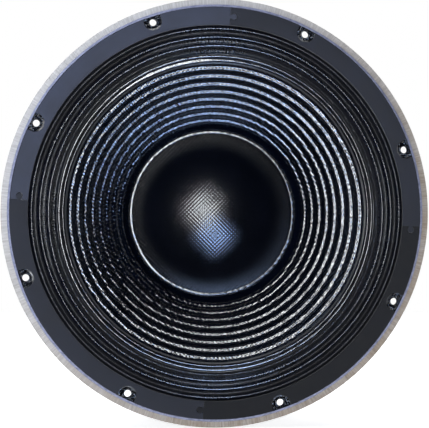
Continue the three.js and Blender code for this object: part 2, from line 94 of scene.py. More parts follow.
ARM_TOP = (RECESS_INNER + 1 * MM, SKIRT_REAR - 6 * MM)  # the slab's front corner at the flange
ARM_FOOT = (CUP_RADIUS - 3 * MM, CUP_FRONT + 1 * MM)
ARM_WIDTH, ARM_THICKNESS, RIB_WIDTH = 20 * MM, 5 * MM, 5 * MM
TOP_FLARE, FOOT_FLARE, FLARE_REACH, ARM_WAIST = 9 * MM, 7 * MM, 0.07, 2.5 * MM
RIB_START, RIB_GROWTH = 3 * MM, 13 * MM
ARM_STATIONS = (  # shares of the way from the flange to the cup, closer together in the flares
    -0.01, 0, 0.03, 0.06, 0.1, 0.15, 0.22, 0.3, 0.4, 0.5, 0.6, 0.7,
    0.78, 0.85, 0.9, 0.94, 0.97, 1, 1.06, 1.12, 1.18,
)

GASKET_INNER = 170.2 * MM
GASKET_OUTER = 186.2 * MM
GASKET_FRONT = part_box("gasket_segment_1")[0].y
GASKET_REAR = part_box("gasket_segment_1")[1].y
GASKET_EDGE, GASKET_GAP, TAB_ROOM = 0.35 * MM, 0.12 * MM, 0.25 * MM
GASKET_SHADE_AND_NAP_TONES = (0.36, 0.86, 0.36, 0.12)  # painted light and shade, lightest at the upper left where the light falls and darkest at the lower right, partly each segment's own nap: upper right, upper left, lower left, lower right
NOTCH_RADIUS, NOTCH_DEPTH = 8.35 * MM, 12 * MM
TAB_RADIUS, TAB_REACH, TAB_NECK = 2.7 * MM, 3.4 * MM, 1.7 * MM

CONE_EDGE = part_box("cone")[1].x
CONE_TOP = 137 * MM
CONE_TOP_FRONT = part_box("cone")[0].y
CONE_SLOPE, CONE_WALL = 0.744, 1.6 * MM
RIDGES, FIRST_RIDGE, RIDGE_PITCH, RIDGE_STRETCH = 8, 86.5 * MM, 5.99 * MM, 0.081 * MM
INNER_TREAD_SLOPE, OUTER_TREAD_SLOPE = 0.2, 0.08
STEP_SHARPNESS = 2.4
NECK_INNER, NECK_REAR = 50.4 * MM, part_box("cone")[1].y

CAP_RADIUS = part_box("dust_cap")[1].x
CAP_EDGE_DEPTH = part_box("dust_cap")[1].y - 1.3 * MM
CAP_HEIGHT, CAP_WALL = 22 * MM, 0.9 * MM

# Where the surround lies on the cone: radii, and depths from the cone's front.
LAP = ((135.6 * MM, -0.2 * MM), (137.6 * MM, -0.9 * MM), (144.4 * MM, -1.9 * MM))
CRESTS = (151.6 * MM, 159.4 * MM, 167.0 * MM)
VALLEYS = (147.4 * MM, 156.0 * MM, 163.8 * MM, 170.6 * MM)
CREST_DEPTH, VALLEY_DEPTH = -9.2 * MM, -4.4 * MM
CREST_FLATNESS = 0.1  # 0 makes crests and valleys alike
SURROUND_EDGE, SURROUND_SEAT, SURROUND_WALL = 176.8 * MM, RECESS_FRONT - 1.2 * MM, 0.7 * MM
POOL_ANGLE, POOL_SPREAD = math.radians(106), 0.36  # where the lacquer has run, at the upper left
POOL_WIDENING, POOL_DROP, POOL_CALM = 0.3, 0.5, 0.7  # how much wider, lower and smoother it is there
GLUE_WAVES, GLUE_WANDER, GLUE_SHIFT = 26, 0.1, 0.12 * MM
EDGE_BEADS = (  # name, radius, depth in front of the cone's front, width, height, seed, crown and pool
    ("edge_lacquer_inner", 138.9 * MM, 0.9 * MM, 1.9 * MM, 1.7 * MM, 11, 2.2, 0.55),
    ("edge_lacquer_outer", 142.4 * MM, 1.7 * MM, 1.7 * MM, 1.3 * MM, 12, 2.8, 0.0),
)

SPIDER_PLANE = 78 * MM
SPIDER_INNER, SPIDER_OUTER = 51 * MM, 93 * MM
SPIDER_FLAT_INNER, SPIDER_FLAT_OUTER = 56 * MM, 84 * MM
SPIDER_ROLLS, SPIDER_ROLL_HEIGHT, SPIDER_WALL = 5, 2.0 * MM, 0.6 * MM
FORMER_INNER, FORMER_OUTER = 49.2 * MM, 50 * MM
COIL_INNER, COIL_OUTER, WIRE = 50.3 * MM, 51.7 * MM, 0.5 * MM

LEAD_ROUTE = (  # in mm: distance from the axis, depth, and sideways as a share of the terminals' offset
    (50.5, 72, 0.4), (57, 70.8, 0.7), (66, 68.6, 1.2), (76, 68.2, 1.5), (86, 69.4, 1.5),
    (94, 71.8, 1.3), (99.4, 76, 1.1), (102.5, 82, 1.0), (102.5, 88.5, 1.0),
)
LEAD_STRANDS, STRAND_REACH, STRAND_RADIUS, STRAND_TURN = 6, 0.62 * MM, 0.42 * MM, 0.42

PLATE_RADIUS, PLATE_BORE = 92.5 * MM, 53.2 * MM
MAGNET_RADIUS, MAGNET_BORE = 100 * MM, 60 * MM
POLE_RADIUS, VENT_RADIUS = 48.4 * MM, 16 * MM
VENT_MOUTH, VENT_MOUTH_DEPTH = 22.3 * MM, 3.2 * MM
BACK_THICKNESS, GROOVE_RADIUS = 10 * MM, 80 * MM
CHIP_WAVES, CHIP_DEPTH = 24, 0.5 * MM
MESH_PITCH, MESH_WIRE, MESH_LIFT = 2.2 * MM, 0.26 * MM, 0.22 * MM

TERMINAL_DEPTH, TERMINAL_SPACING, BOSS_SPACING = 90 * MM, 18 * MM, 44 * MM
BOSS_FACE, BOARD_INNER, BOARD_OUTER = 104 * MM, 104.3 * MM, 107.3 * MM
BOARD_LENGTH, BOARD_WIDTH = 54 * MM, 18 * MM
POST_BASE, POST_TOP = 107.6 * MM, 121.6 * MM
WIRE_HOLE, WIRE_HOLE_RADIUS = POST_BASE + 7 * MM, 1.1 * MM
BUTTON_BASE, BUTTON_END, BUTTON_TRAVEL = 112.9 * MM, 130.6 * MM, 3 * MM
BUTTON_RIBS, BUTTON_GROOVE = 24, 0.32 * MM
SPRING_TURNS, SPRING_RADIUS, SPRING_WIRE = 4, 1.9 * MM, 0.3 * MM

CAMERA_DISTANCE, CAMERA_AZIMUTH = 1.5, math.radians(-5.2)
CAMERA_TARGET = (-2.0 * MM, RIM_FRONT, -0.8 * MM)
SENSOR, RIM_SHARE = 36, 0.9995  # the picture is this share of the rim's diameter wide

RING_STEPS = 384  # facets round the front's large rings
PLAIN_STEPS = 192  # facets round the motor's rings
GLUE_STEPS, CAP_STEPS, MAGNET_STEPS, BUTTON_STEPS = 720, 256, 288, 144
COIL_STEPS, SCREEN_STEPS, HOLE_STEPS, TURNED_STEPS = 96, 96, 48, 48


# ---------- meshes ----------


def mesh_object(name, vertices, faces, smooth_angle=40):
    """A mesh object whose faces point outwards, shaded smooth except across edges sharper than the angle."""
    mesh = bpy.data.meshes.new(name)
    mesh.from_pydata([tuple(v) for v in vertices], [], [tuple(f) for f in faces])
    return finished(name, mesh, smooth_angle)


def finished(name, mesh, smooth_angle=40):
    made = bmesh.new()
    made.from_mesh(mesh)
    bmesh.ops.remove_doubles(made, verts=made.verts, dist=1e-6)
    bmesh.ops.recalc_face_normals(made, faces=made.faces)
    made.to_mesh(mesh)
    made.free()
    mesh.shade_smooth()
    mesh.set_sharp_from_angle(angle=math.radians(smooth_angle))
    piece = bpy.data.objects.new(name, mesh)
    bpy.context.scene.collection.objects.link(piece)
    return piece


def rounded(outline, steps=4):
    """The outline with each corner that is (radius, depth, size), and not just (radius, depth), rounded."""
    corners = [np.array(c[:2], float) for c in outline]
    made = []
    for i, corner in enumerate(outline):
        here = corners[i]
        if len(corner) < 3:
            made.append(here)
            continue
        before, after = corners[i - 1] - here, corners[(i + 1) % len(corners)] - here
        start = here + before / np.linalg.norm(before) * min(corner[2], np.linalg.norm(before) * 0.49)
        end = here + after / np.linalg.norm(after) * min(corner[2], np.linalg.norm(after) * 0.49)
        for t in np.linspace(0, 1, steps + 1):
            made.append((1 - t) ** 2 * start + 2 * t * (1 - t) * here + t**2 * end)
    return made


def grid_faces(rows, columns, close_rows=True, close_columns=True):
    """Quads of a grid whose vertex number is row * columns + column."""
    row = np.arange(rows if close_rows else rows - 1)
    column = np.arange(columns if close_columns else columns - 1)
    r, c = (a.ravel() for a in np.meshgrid(row, column, indexing="ij"))
    r2, c2 = (r + 1) % rows, (c + 1) % columns
    return np.stack([r * columns + c, r * columns + c2, r2 * columns + c2, r2 * columns + c], axis=1)


def turned(name, outline, steps=RING_STEPS, closed=True, shape=None):
    """Turns a rounded outline of (radius, depth) corners round the driver's axis. shape moves its points."""
    outline = np.array(rounded(outline), float)
    angles = np.linspace(0, 2 * math.pi, steps, endpoint=False)
    radius, angle = np.meshgrid(outline[:, 0], angles)
    depth = np.meshgrid(outline[:, 1], angles)[0]
    if shape:
        radius, depth = shape(radius, depth, angle)
    vertices = np.stack([radius * np.cos(angle), depth, radius * np.sin(angle)], axis=-1).reshape(-1, 3)
    return mesh_object(name, vertices, grid_faces(steps, len(outline), close_columns=closed))


def sheet_outline(front, wall):
    """A closed outline: the front line, and back along the same line moved by the wall's thickness."""
    return [*front, *[(r, y + wall) for r, y in reversed(front)]]


def extruded(name, outline, front, rear, bevel):
    """A flat piece seen from the front: its outline of (x, z) points, from depth front to depth rear."""
    made = bmesh.new()
    face = made.faces.new([made.verts.new((x, front, z)) for x, z in outline])
    moved = bmesh.ops.extrude_face_region(made, geom=[face])["geom"]
    back = [v for v in moved if isinstance(v, bmesh.types.BMVert)]
    bmesh.ops.translate(made, verts=back, vec=(0, rear - front, 0))
    edges = [e for e in made.edges if all(abs(v.co.y - front) < 1e-7 for v in e.verts)]
    bmesh.ops.bevel(made, geom=edges, offset=bevel, segments=3, profile=0.5, affect="EDGES")
    mesh = bpy.data.meshes.new(name)
    bmesh.ops.triangulate(made, faces=[f for f in made.faces if len(f.verts) > 8])
    made.to_mesh(mesh)
    made.free()
    return finished(name, mesh)


def circle(radius, steps):
    """Points at even steps round a circle."""
    angles = np.linspace(0, 2 * math.pi, steps, endpoint=False)
    return [(radius * math.cos(a), radius * math.sin(a)) for a in angles]


def polar(radius, degrees):
    return radius * math.cos(math.radians(degrees)), radius * math.sin(math.radians(degrees))


def arc(centre, radius, start, end, steps):
    """Points on an arc from start to end, in degrees."""
    return [
        (centre[0] + radius * math.cos(math.radians(a)), centre[1] + radius * math.sin(math.radians(a)))
        for a in np.linspace(start, end, steps + 1)
    ]


def capped(vertices, rows):
    """Vertices and faces of a closed body, from the rings of vertices that follow each other along it."""
    columns = len(vertices) // rows
    faces = [tuple(f) for f in grid_faces(rows, columns, close_rows=False)]
    last = (rows - 1) * columns
    return vertices, [*faces, tuple(range(columns)), tuple(range(last, last + columns))]


def cylinder(radius, start, end, steps=24):
    """A closed cylinder between two points."""
    start, end = Vector(start), Vector(end)
    turn = (end - start).to_track_quat("Z", "Y").to_matrix()
    ring = [turn @ Vector((a, b, 0)) for a, b in circle(radius, steps)]
    return capped([start + p for p in ring] + [end + p for p in ring], 2)


def carried(route):
    """Each point of a route, with two directions across it that turn as little as they can on the way."""
    side, made = None, []
    for i, here in enumerate(route):
        ahead = (route[min(i + 1, len(route) - 1)] - route[max(i - 1, 0)]).normalized()
        side = (side - side.dot(ahead) * ahead).normalized() if side else ahead.orthogonal().normalized()
        made.append((here, side.copy(), ahead.cross(side)))
    return made


def tube_body(centres, radius, sides):
    """A round tube through centres that each carry two directions across it."""
    ring = circle(radius, sides)
    return capped([here + side * a + up * b for here, side, up in centres for a, b in ring], len(centres))


def ring_body(centre, outline, steps):
    """An outline of (radius, depth) points turned round an axis parallel to the driver's."""
    vertices = []
    for c, s in circle(1, steps):
        vertices += [Vector((centre[0] + r * c, y, centre[1] + r * s)) for r, y in outline]
    return vertices, grid_faces(steps, len(outline))


def block(low, high):
    """A box between two corners."""
    (x0, y0, z0), (x1, y1, z1) = low, high
    vertices = [Vector((x, y, z)) for x in (x0, x1) for y in (y0, y1) for z in (z0, z1)]
    return vertices, [(0, 1, 3, 2), (4, 6, 7, 5), (0, 4, 5, 1), (2, 3, 7, 6), (0, 2, 6, 4), (1, 5, 7, 3)]


def joined(pieces):
    """Vertices and faces of several bodies as one list each."""
    vertices, faces = [], []
    for piece_vertices, piece_faces in pieces:
        faces += [tuple(i + len(vertices) for i in f) for f in piece_faces]
        vertices += list(piece_vertices)
    return vertices, faces


def cut(piece, cutter_parts):
    """Cuts the bodies in the list out of the piece."""
    cutter = mesh_object(piece.name + "_cutter", *joined(cutter_parts))
    hole = piece.modifiers.new("cut", "BOOLEAN")
    hole.operation = "DIFFERENCE"
    hole.solver = "EXACT"
    hole.object = cutter
    apply_modifiers(piece)
    bpy.data.objects.remove(cutter)


def bevelled(piece, width):
    bevel = piece.modifiers.new("bevel", "BEVEL")
    bevel.width = width
    bevel.segments = 3
    bevel.limit_method = "ANGLE"
    bevel.angle_limit = math.radians(35)
    apply_modifiers(piece)
    piece.data.shade_smooth()
    piece.data.set_sharp_from_angle(angle=math.radians(50))


def apply_modifiers(piece):
    graph = bpy.context.evaluated_depsgraph_get()
    mesh = bpy.data.meshes.new_from_object(piece.evaluated_get(graph))
    piece.modifiers.clear()
    piece.data = mesh


def depths(node):
    """Where a CAD node starts and ends along the driver's axis."""
    low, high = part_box(node)
    return low.y, high.y


def outwards_and_sideways(degrees):
    """The directions away from the driver's axis, and round it, at an angle."""
    c, s = polar(1, degrees)
    return Vector((c, 0, s)), Vector((-s, 0, c))


def show(piece, materials, body, nodes=()):
    """Gives the piece its materials and its body, and hides the CAD nodes that it stands for."""
    for material in materials if isinstance(materials, list) else [materials]:
        piece.data.materials.append(material)
    if body:
        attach(piece, body)
    if nodes:
        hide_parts(*nodes)


# ---------- shader helpers ----------


class Shader:
    """A node material with one Principled shader. Its methods add nodes and return their output sockets."""

    def __init__(self, name, **uniform):
        self.material = bpy.data.materials.new(name)
        self.material.use_nodes = True
        self.tree = self.material.node_tree
        self.tree.nodes.clear()
        self.shader = self.tree.nodes.new("ShaderNodeBsdfPrincipled")
        output = self.tree.nodes.new("ShaderNodeOutputMaterial")
        self.tree.links.new(self.shader.outputs[0], output.inputs[0])
        for socket, value in uniform.items():
            self.set(socket.replace("_", " ").title().replace("Ior", "IOR"), value)
        self.place = self.node("ShaderNodeTexCoord").outputs["Object"]
        self.x, self.y, self.z = self.node("ShaderNodeSeparateXYZ", {0: self.place}).outputs

    def set(self, socket, value):
        if isinstance(value, bpy.types.NodeSocket):
            self.tree.links.new(value, self.shader.inputs[socket])
        else:
            self.shader.inputs[socket].default_value = value

    def node(self, kind, inputs=(), **settings):
        made = self.tree.nodes.new(kind)
        for setting, value in settings.items():
            setattr(made, setting, value)
        for socket, value in dict(inputs).items():
            if isinstance(value, bpy.types.NodeSocket):
                self.tree.links.new(value, made.inputs[socket])
            else:
                made.inputs[socket].default_value = value
        return made

    def math(self, operation, a, b=0.0):
        return self.node("ShaderNodeMath", {0: a, 1: b}, operation=operation).outputs[0]

    def times(self, a, b):
        return self.math("MULTIPLY", a, b)

    def minus(self, a, b):
        return self.math("SUBTRACT", a, b)

    def plus(self, total, *others):
        for other in others:
            total = self.math("ADD", total, other)
        return total

    def vector(self, x, y, z):
        return self.node("ShaderNodeCombineXYZ", {0: x, 1: y, 2: z}).outputs[0]

    def scaled(self, *factors):
        inputs = {0: self.place, 1: factors}
        return self.node("ShaderNodeVectorMath", inputs, operation="MULTIPLY").outputs[0]

    def radius(self):
        """The distance from the driver's axis."""
        return self.math("SQRT", self.plus(self.times(self.x, self.x), self.times(self.z, self.z)))

    def round_axis(self, around, outwards):
        """Coordinates that run round the driver's axis without a seam, and outwards and backwards from it.
        around is the circle's radius in pattern units, and outwards is the units in a metre."""
        radius = self.radius()
        across = self.math("DIVIDE", around, radius)
        out = self.times(self.plus(radius, self.y), outwards)
        return self.vector(self.times(self.x, across), self.times(self.z, across), out)

    def noise(self, vector, scale=1.0, detail=3.0, roughness=0.55, distortion=0.0):
        inputs = {"Vector": vector, "Scale": scale, "Detail": detail, "Roughness": roughness}
        inputs["Distortion"] = distortion
        return self.node("ShaderNodeTexNoise", inputs).outputs["Fac"]

    def cells(self, vector, scale):
        return self.node("ShaderNodeTexVoronoi", {"Vector": vector, "Scale": scale}).outputs["Distance"]

    def ramp(self, value, low, high, to_low=0.0, to_high=1.0):
        inputs = {"Value": value, "From Min": low, "From Max": high, "To Min": to_low, "To Max": to_high}
        return self.node("ShaderNodeMapRange", inputs).outputs[0]

    def mix(self, share, dark, light):
        made = self.node("ShaderNodeMix", data_type="RGBA")
        for socket, value in zip((made.inputs[0], made.inputs[6], made.inputs[7]), (share, dark, light)):
            if isinstance(value, bpy.types.NodeSocket):
                self.tree.links.new(value, socket)
            else:
                socket.default_value = (*value, 1)
        return made.outputs[2]

    def weave(self, pitch):
        """Threads that cross in the plane of the driver's front, over and under each other, from -1 to 1."""
        warp = self.math("SINE", self.times(self.x, math.pi / pitch))
        weft = self.math("SINE", self.times(self.z, math.pi / pitch))
        return self.times(warp, weft)

    def tint(self, pattern, dark, light, low=0.3, high=0.7):
        """Colours the surface from dark to light as the pattern goes from low to high."""
        self.set("Base Color", self.mix(self.ramp(pattern, low, high), dark, light))

    def dull(self, pattern, smooth, rough, low=0.3, high=0.7):
        """Makes the surface rougher as the pattern goes from low to high."""
        self.set("Roughness", self.ramp(pattern, low, high, smooth, rough))

    def relief(self, *layers):
        """Adds bumps of (height, distance, strength), the deepest first, and returns the material."""
        normal = None
        for height, distance, strength in layers:
            inputs = {"Height": height, "Distance": distance, "Strength": strength}
            if normal:
                inputs["Normal"] = normal
            normal = self.node("ShaderNodeBump", inputs).outputs[0]
        self.set("Normal", normal)
        self.set("Coat Normal", normal)
        return self.material


# ---------- materials ----------


def basket_gloss():
    """Thick glossy black paint that has set in ripples."""
    s = Shader("basket_gloss", specular_ior_level=0.9)
    grain = s.noise(s.place, 1600)
    s.tint(grain, (0.001, 0.001, 0.003), (0.003, 0.003, 0.005))
    s.dull(grain, 0.05, 0.14)
    return s.relief((grain, 0.01 * MM, 1), (s.noise(s.place, 300, 2), 3.2 * MM, 1))


def basket_paint():
    """Satin black paint over a cast surface."""
    s = Shader("basket_paint")
    grain = s.noise(s.place, 1400, 4)
    lumps = s.noise(s.place, 260, 2)
    s.tint(lumps, (0.006, 0.007, 0.01), (0.012, 0.013, 0.018), 0.35)
    s.dull(grain, 0.3, 0.45)
    return s.relief((grain, 0.04 * MM, 1), (lumps, 0.12 * MM, 0.6))


def bare_rim():
    """Bare cast aluminium, sanded across and dull. Blotches turn it darker and browner towards the lower
    right: partly stain, partly painted shade away from the light at the upper left.
    """
    s = Shader("bare_rim", metallic=0.25)
    streaks = s.noise(s.round_axis(150, 60), 1, 5, 0.65)
    fine = s.noise(s.round_axis(420, 200))
    blotches = s.ramp(s.noise(s.place, 55, 4, 0.6), 0.25, 0.6, 0.5, 1)
    # painted shade: the rim gets darker and browner towards the lower right, away from the light
    painted_shade_low_right = s.ramp(s.minus(s.x, s.z), -0.2, 0.2)
    share = s.ramp(streaks, 0.3, 0.7)
    clean = s.mix(share, (0.42, 0.41, 0.41), (0.66, 0.65, 0.66))
    stained_and_shaded = s.mix(share, (0.24, 0.19, 0.145), (0.46, 0.39, 0.32))
    s.set("Base Color", s.mix(s.times(painted_shade_low_right, blotches), clean, stained_and_shaded))
    s.dull(fine, 0.5, 0.72)
    return s.relief((s.plus(streaks, fine), 0.08 * MM, 0.7))


def lip_painted_highlight():
    """The black lip coloured a light blue-grey all round: a painted highlight, the sky's reflection along
    the lip.
    """
    s = Shader("lip_painted_highlight", roughness=0.45)
    s.tint(s.noise(s.round_axis(60, 400), 1, 4, 0.6), (0.15, 0.165, 0.25), (0.32, 0.34, 0.5))
    return s.relief((s.noise(s.place, 900), 0.05 * MM, 0.7))


def gasket_rubber_shaded(tone):
    """Closed-cell foam rubber with fine pores. tone lightens or darkens it, as painted light and shade and
    partly the segment's own nap.
    """
    s = Shader(f"gasket_rubber_{round(tone * 100)}", sheen_weight=0.15, sheen_roughness=0.6)
    cloud = s.noise(s.place, 45, 4, 0.6)
    dark, light = (0.034, 0.041, 0.068), (0.048, 0.058, 0.097)
    s.tint(cloud, tuple(c * tone for c in dark), tuple(c * tone for c in light))
    s.dull(cloud, 0.76, 0.9)
    return s.relief((s.cells(s.place, 1500), 0.08 * MM, 0.6), (s.noise(s.place, 2600, 2), 0.06 * MM, 0.7))


def cone_paper():
    """Pressed black pulp under a clear coating, with the weave of the felt that pressed it."""
    s = Shader("cone_paper", specular_ior_level=0.85, coat_weight=0.7, coat_roughness=0.08)
    fibre = s.noise(s.place, 1300, 3, 0.6)
    lumps = s.noise(s.round_axis(74, 420), 1, 2, 0.5)
    s.tint(s.noise(s.place, 60), (0.0002, 0.0005, 0.002), (0.0005, 0.001, 0.004))
    s.dull(fibre, 0.08, 0.18)
    return s.relief((lumps, 0.35 * MM, 1), (s.weave(1.7 * MM), 0.052 * MM, 1), (fibre, 0.02 * MM, 0.8))


def surround_cloth():
    """Woven cloth soaked in lacquer. It shines most along the pleats' crests, and least on the bias, at its
    edges and at the lower right, where the lacquer is thin."""
    s = Shader("surround_cloth", specular_ior_level=1.0, coat_weight=0.9)
    radius = s.radius()
    s.tint(s.noise(s.place, 90), (0.0002, 0.0005, 0.003), (0.0005, 0.001, 0.006))
    bias = s.math("ABSOLUTE", s.math("DIVIDE", s.times(s.x, s.z), s.times(radius, radius)))
    pleat = s.times(s.minus(radius, CRESTS[0]), 2 * math.pi / (CRESTS[1] - CRESTS[0]))
    patches = s.noise(s.round_axis(150, 150), 1, 2, 0.5)
    roughness = s.plus(
        s.ramp(bias, 0.1, 0.45, 0.03, 0.26),
        s.ramp(s.minus(s.x, s.z), -0.12, 0.12, 0.04, 0.1),
        s.ramp(patches, 0.45, 0.62, -0.08, 0.08),
        s.ramp(s.math("COSINE", pleat), -0.9, 0.3, 0.24, 0),
        s.ramp(radius, VALLEYS[2] - 3 * MM, VALLEYS[2] + 2 * MM, 0, 0.22),
        s.ramp(radius, VALLEYS[0] - 3 * MM, VALLEYS[0], 0.35, 0),
    )
    s.set("Roughness", roughness)
    s.set("Coat Roughness", roughness)
    uneven = s.noise(s.round_axis(80, 300), 1, 3, 0.6)
    return s.relief((s.weave(1.7 * MM), 0.04 * MM, 1), (uneven, 0.16 * MM, 1))


def lacquer():
    """Glossy black glue, set in small lumps."""
    s = Shader("lacquer", base_color=(0.001, 0.001, 0.003, 1), specular_ior_level=0.9, coat_weight=0.8,
               coat_roughness=0.05)
    specks = s.noise(s.place, 1500, 3, 0.6)
    s.dull(specks, 0.06, 0.16, 0.4, 0.75)
    return s.relief((s.noise(s.round_axis(90, 420), 1, 3, 0.6), 0.17 * MM, 1), (specks, 0.01 * MM, 0.6))


def cap_cloth():
    """Fine plain-woven cloth, dulled by its dye. Its two thread directions spread a highlight four ways."""
    s = Shader("cap_cloth", specular_ior_level=0.8)
    fuzz = s.noise(s.place, 1100, 3, 0.6)
    s.tint(s.noise(s.place, 50), (0.0008, 0.0012, 0.0025), (0.002, 0.0025, 0.005))
    s.dull(fuzz, 0.13, 0.23)
    return s.relief((s.weave(1.8 * MM), 0.066 * MM, 1), (fuzz, 0.05 * MM, 0.8))


def spider_cloth():
    """Cotton cloth stiffened with amber resin."""
    s = Shader("spider_cloth", roughness=0.62)
    weave = s.weave(0.5 * MM)
    soak = s.ramp(s.noise(s.place, 90, 4), 0.3, 0.7)
    tone = s.mix(soak, (0.24, 0.13, 0.045), (0.46, 0.3, 0.13))
    s.set("Base Color", s.mix(s.ramp(weave, -1, 1, 0, 0.5), tone, (0.14, 0.075, 0.03)))
    return s.relief((weave, 0.12 * MM, 0.8))


def plain_metal(name, color, roughness, stain, metallic=1.0, turned_marks=0.0):
    """Machined or plated metal. turned_marks is the depth of the lathe's marks round the driver."""
    s = Shader(name, metallic=metallic)
    rings = s.noise(s.vector(0, 0, s.times(s.plus(s.radius(), s.y), 4200)), 1, 4, 0.7)
    cloud = s.noise(s.place, 120, 4, 0.6)
    s.tint(cloud, tuple(c * (1 - stain) for c in color), color, 0.3, 0.75)
    s.dull(cloud, roughness * 0.8, roughness * 1.25)
    return s.relief((s.noise(s.place, 1800), 0.02 * MM, 0.5), (rings, turned_marks, 0.6))


def ferrite():
    """Ground, fired ferrite: dull dark grey with faint grinding marks and pits."""
    s = Shader("ferrite", metallic=0.1)
    grit = s.noise(s.place, 900, 5, 0.7)
    pits = s.ramp(s.cells(s.place, 420), 0.02, 0.12)
    s.tint(grit, (0.02, 0.02, 0.023), (0.055, 0.055, 0.06))
    s.dull(s.noise(s.round_axis(30, 3500)), 0.45, 0.68)
    return s.relief((grit, 0.06 * MM, 0.7), (pits, 0.06 * MM, 0.5))


def moulded(name, color):
    """Moulded plastic."""
    s = Shader(name)
    grain = s.noise(s.place, 2400)
    s.tint(s.noise(s.place, 200), tuple(c * 0.8 for c in color), color)
    s.dull(grain, 0.272, 0.384)
    return s.relief((grain, 0.02 * MM, 0.6))


def laminate():
    """Brown-black phenolic sheet with its paper grain."""
    s = Shader("laminate", roughness=0.42)
    grain = s.noise(s.scaled(900, 5200, 900), 1, 4, 0.7)
    s.tint(grain, (0.018, 0.012, 0.009), (0.06, 0.038, 0.024))
    return s.relief((grain, 0.03 * MM, 0.6))


def former_film():
    """Amber glass-fibre laminate."""
    s = Shader("former_film", roughness=0.4, coat_weight=0.3)
    fibres = s.noise(s.round_axis(130, 1500))
    s.tint(fibres, (0.3, 0.17, 0.05), (0.55, 0.36, 0.15))
    return s.relief((fibres, 0.05 * MM, 0.5))


def winding_copper():
    """Enamelled copper wire, wound closely, coloured darker in the grooves between turns and lighter on each
    wire's crown: painted shade and painted highlight.
    """
    s = Shader("winding_copper", roughness=0.3, metallic=1.0)
    turns = s.math("ABSOLUTE", s.math("SINE", s.times(s.y, math.pi / WIRE)))
    # painted shade in the grooves between turns, painted highlight on each wire's crown
    s.set("Base Color", s.mix(turns, (0.12, 0.035, 0.015), (0.62, 0.24, 0.1)))
    return s.relief((turns, 0.18 * MM, 1))


def lead_braid():
    """Tinsel braid: copper strands plaited over each other."""
    s = Shader("lead_braid", roughness=0.38, metallic=0.9)
    strands = s.noise(s.place, 1900, 2, 0.5, 0.6)
    s.tint(strands, (0.16, 0.08, 0.035), (0.66, 0.44, 0.22), 0.35, 0.65)
    return s.relief((strands, 0.2 * MM, 0.8))


# ---------- the front ----------


def basket_flange(paint, rim, gloss, lip):
    """The flange with its screw holes, and the collars that the paint has left round them."""
    piece = turned("basket_flange", [
        (RIM, RIM_FRONT, 0.7 * MM),
        (RIM, 0, 0.5 * MM),
        (BODY_RADIUS, 0, 0.8 * MM),
        (BODY_RADIUS - 2 * MM, SKIRT_REAR, 1.2 * MM),
        (RECESS_INNER - 4 * MM, SKIRT_REAR, 1.2 * MM),
        (RECESS_INNER, RECESS_FRONT, 0.5 * MM),
        (SEAT_INNER, RECESS_FRONT, 0.2 * MM),
        (SEAT_INNER, SEAT_FRONT, 0.3 * MM),
        (LIP_INNER, SEAT_FRONT, 0.5 * MM),
        (LIP_INNER, LIP_FRONT, 0.5 * MM),
        (LIP_INNER + 0.5 * MM, LIP_FRONT, 0.4 * MM),
        (LIP_OUTER, LIP_FRONT + 0.9 * MM, 0.4 * MM),
        (LIP_OUTER, RIM_FRONT, 0.3 * MM),
    ])
    centres = [polar(HOLE_CIRCLE, HOLE_ANGLE + HOLE_PITCH * i) for i in range(HOLES)]
    cut(piece, [cylinder(HOLE_RADIUS, (x, -12 * MM, z), (x, 6 * MM, z), HOLE_STEPS) for x, z in centres])
    piece.data.shade_smooth()
    piece.data.set_sharp_from_angle(angle=math.radians(35))
    show(piece, [paint, rim, gloss, lip], "frame", ["basket"])
    for face in piece.data.polygons:
        out, depth = math.hypot(face.center.x, face.center.z), face.center.y
        if out > LIP_OUTER + 0.1 * MM and depth < PAINT_LINE:
            face.material_index = 1
        elif SEAT_INNER < out < LIP_INNER and depth < PAINT_LINE:
            face.material_index = 2
        # the lip takes the painted highlight
        elif LIP_INNER < out and depth < RIM_FRONT:
            face.material_index = 3
    collar = rounded([
        (HOLE_RADIUS - 0.5 * MM, SEAT_FRONT + 0.9 * MM, 0.3 * MM),
        (HOLE_RADIUS - 0.5 * MM, SEAT_FRONT - 0.8 * MM, 0.7 * MM),
        (HOLE_RADIUS + 1.4 * MM, SEAT_FRONT - 0.8 * MM, 0.9 * MM),
        (HOLE_RADIUS + 2.0 * MM, SEAT_FRONT + 0.1 * MM),
        (HOLE_RADIUS + 0.1 * MM, SEAT_FRONT + 0.1 * MM),
    ])
    collars = mesh_object("basket_hole_collars", *joined(ring_body(c, collar, HOLE_STEPS) for c in centres))
    show(collars, gloss, "frame", ["basket"])


def gasket_outline(start):
    """One segment's outline from the front, from start to start + 90 degrees, like the frame's own."""
    middle = (GASKET_INNER + GASKET_OUTER) / 2
    gap = math.degrees(GASKET_GAP / middle)
    half = math.degrees(NOTCH_RADIUS / GASKET_OUTER)
    bowl = GASKET_OUTER - NOTCH_DEPTH + NOTCH_RADIUS
    outline, begin = [], start + gap
    for i in range(2):
        at = start + HOLE_PITCH / 2 + HOLE_PITCH * i
        outline += arc((0, 0), GASKET_OUTER, begin, at - half, 16)
        outline += arc(polar(bowl, at), NOTCH_RADIUS, at - 90, at - 270, 24)
        begin = at + half
    end = start + 90 - gap
    outline += arc((0, 0), GASKET_OUTER, begin, end, 16)
    outline += tab_edge(end, middle, TAB_ROOM)
    outline += arc((0, 0), GASKET_INNER, end, start + gap, 64)
    return outline + tab_edge(start + gap, middle, 0)[::-1]


def tab_edge(angle, middle, room):
    """From outside to inside, the points round the tab that leaves the end at this angle clockwise."""
    root = np.array(polar(middle, angle))
    outwards = np.array(polar(1, angle))
    along = np.array((outwards[1], -outwards[0]))
    head = root + along * TAB_REACH
    neck, radius = TAB_NECK + room, TAB_RADIUS + room
    opening = math.degrees(math.asin(neck / radius))
    round_head = arc(head, radius, angle + 90 - opening, angle - 270 + opening, 16)
    return [tuple(root + outwards * neck), *round_head, tuple(root - outwards * neck)]


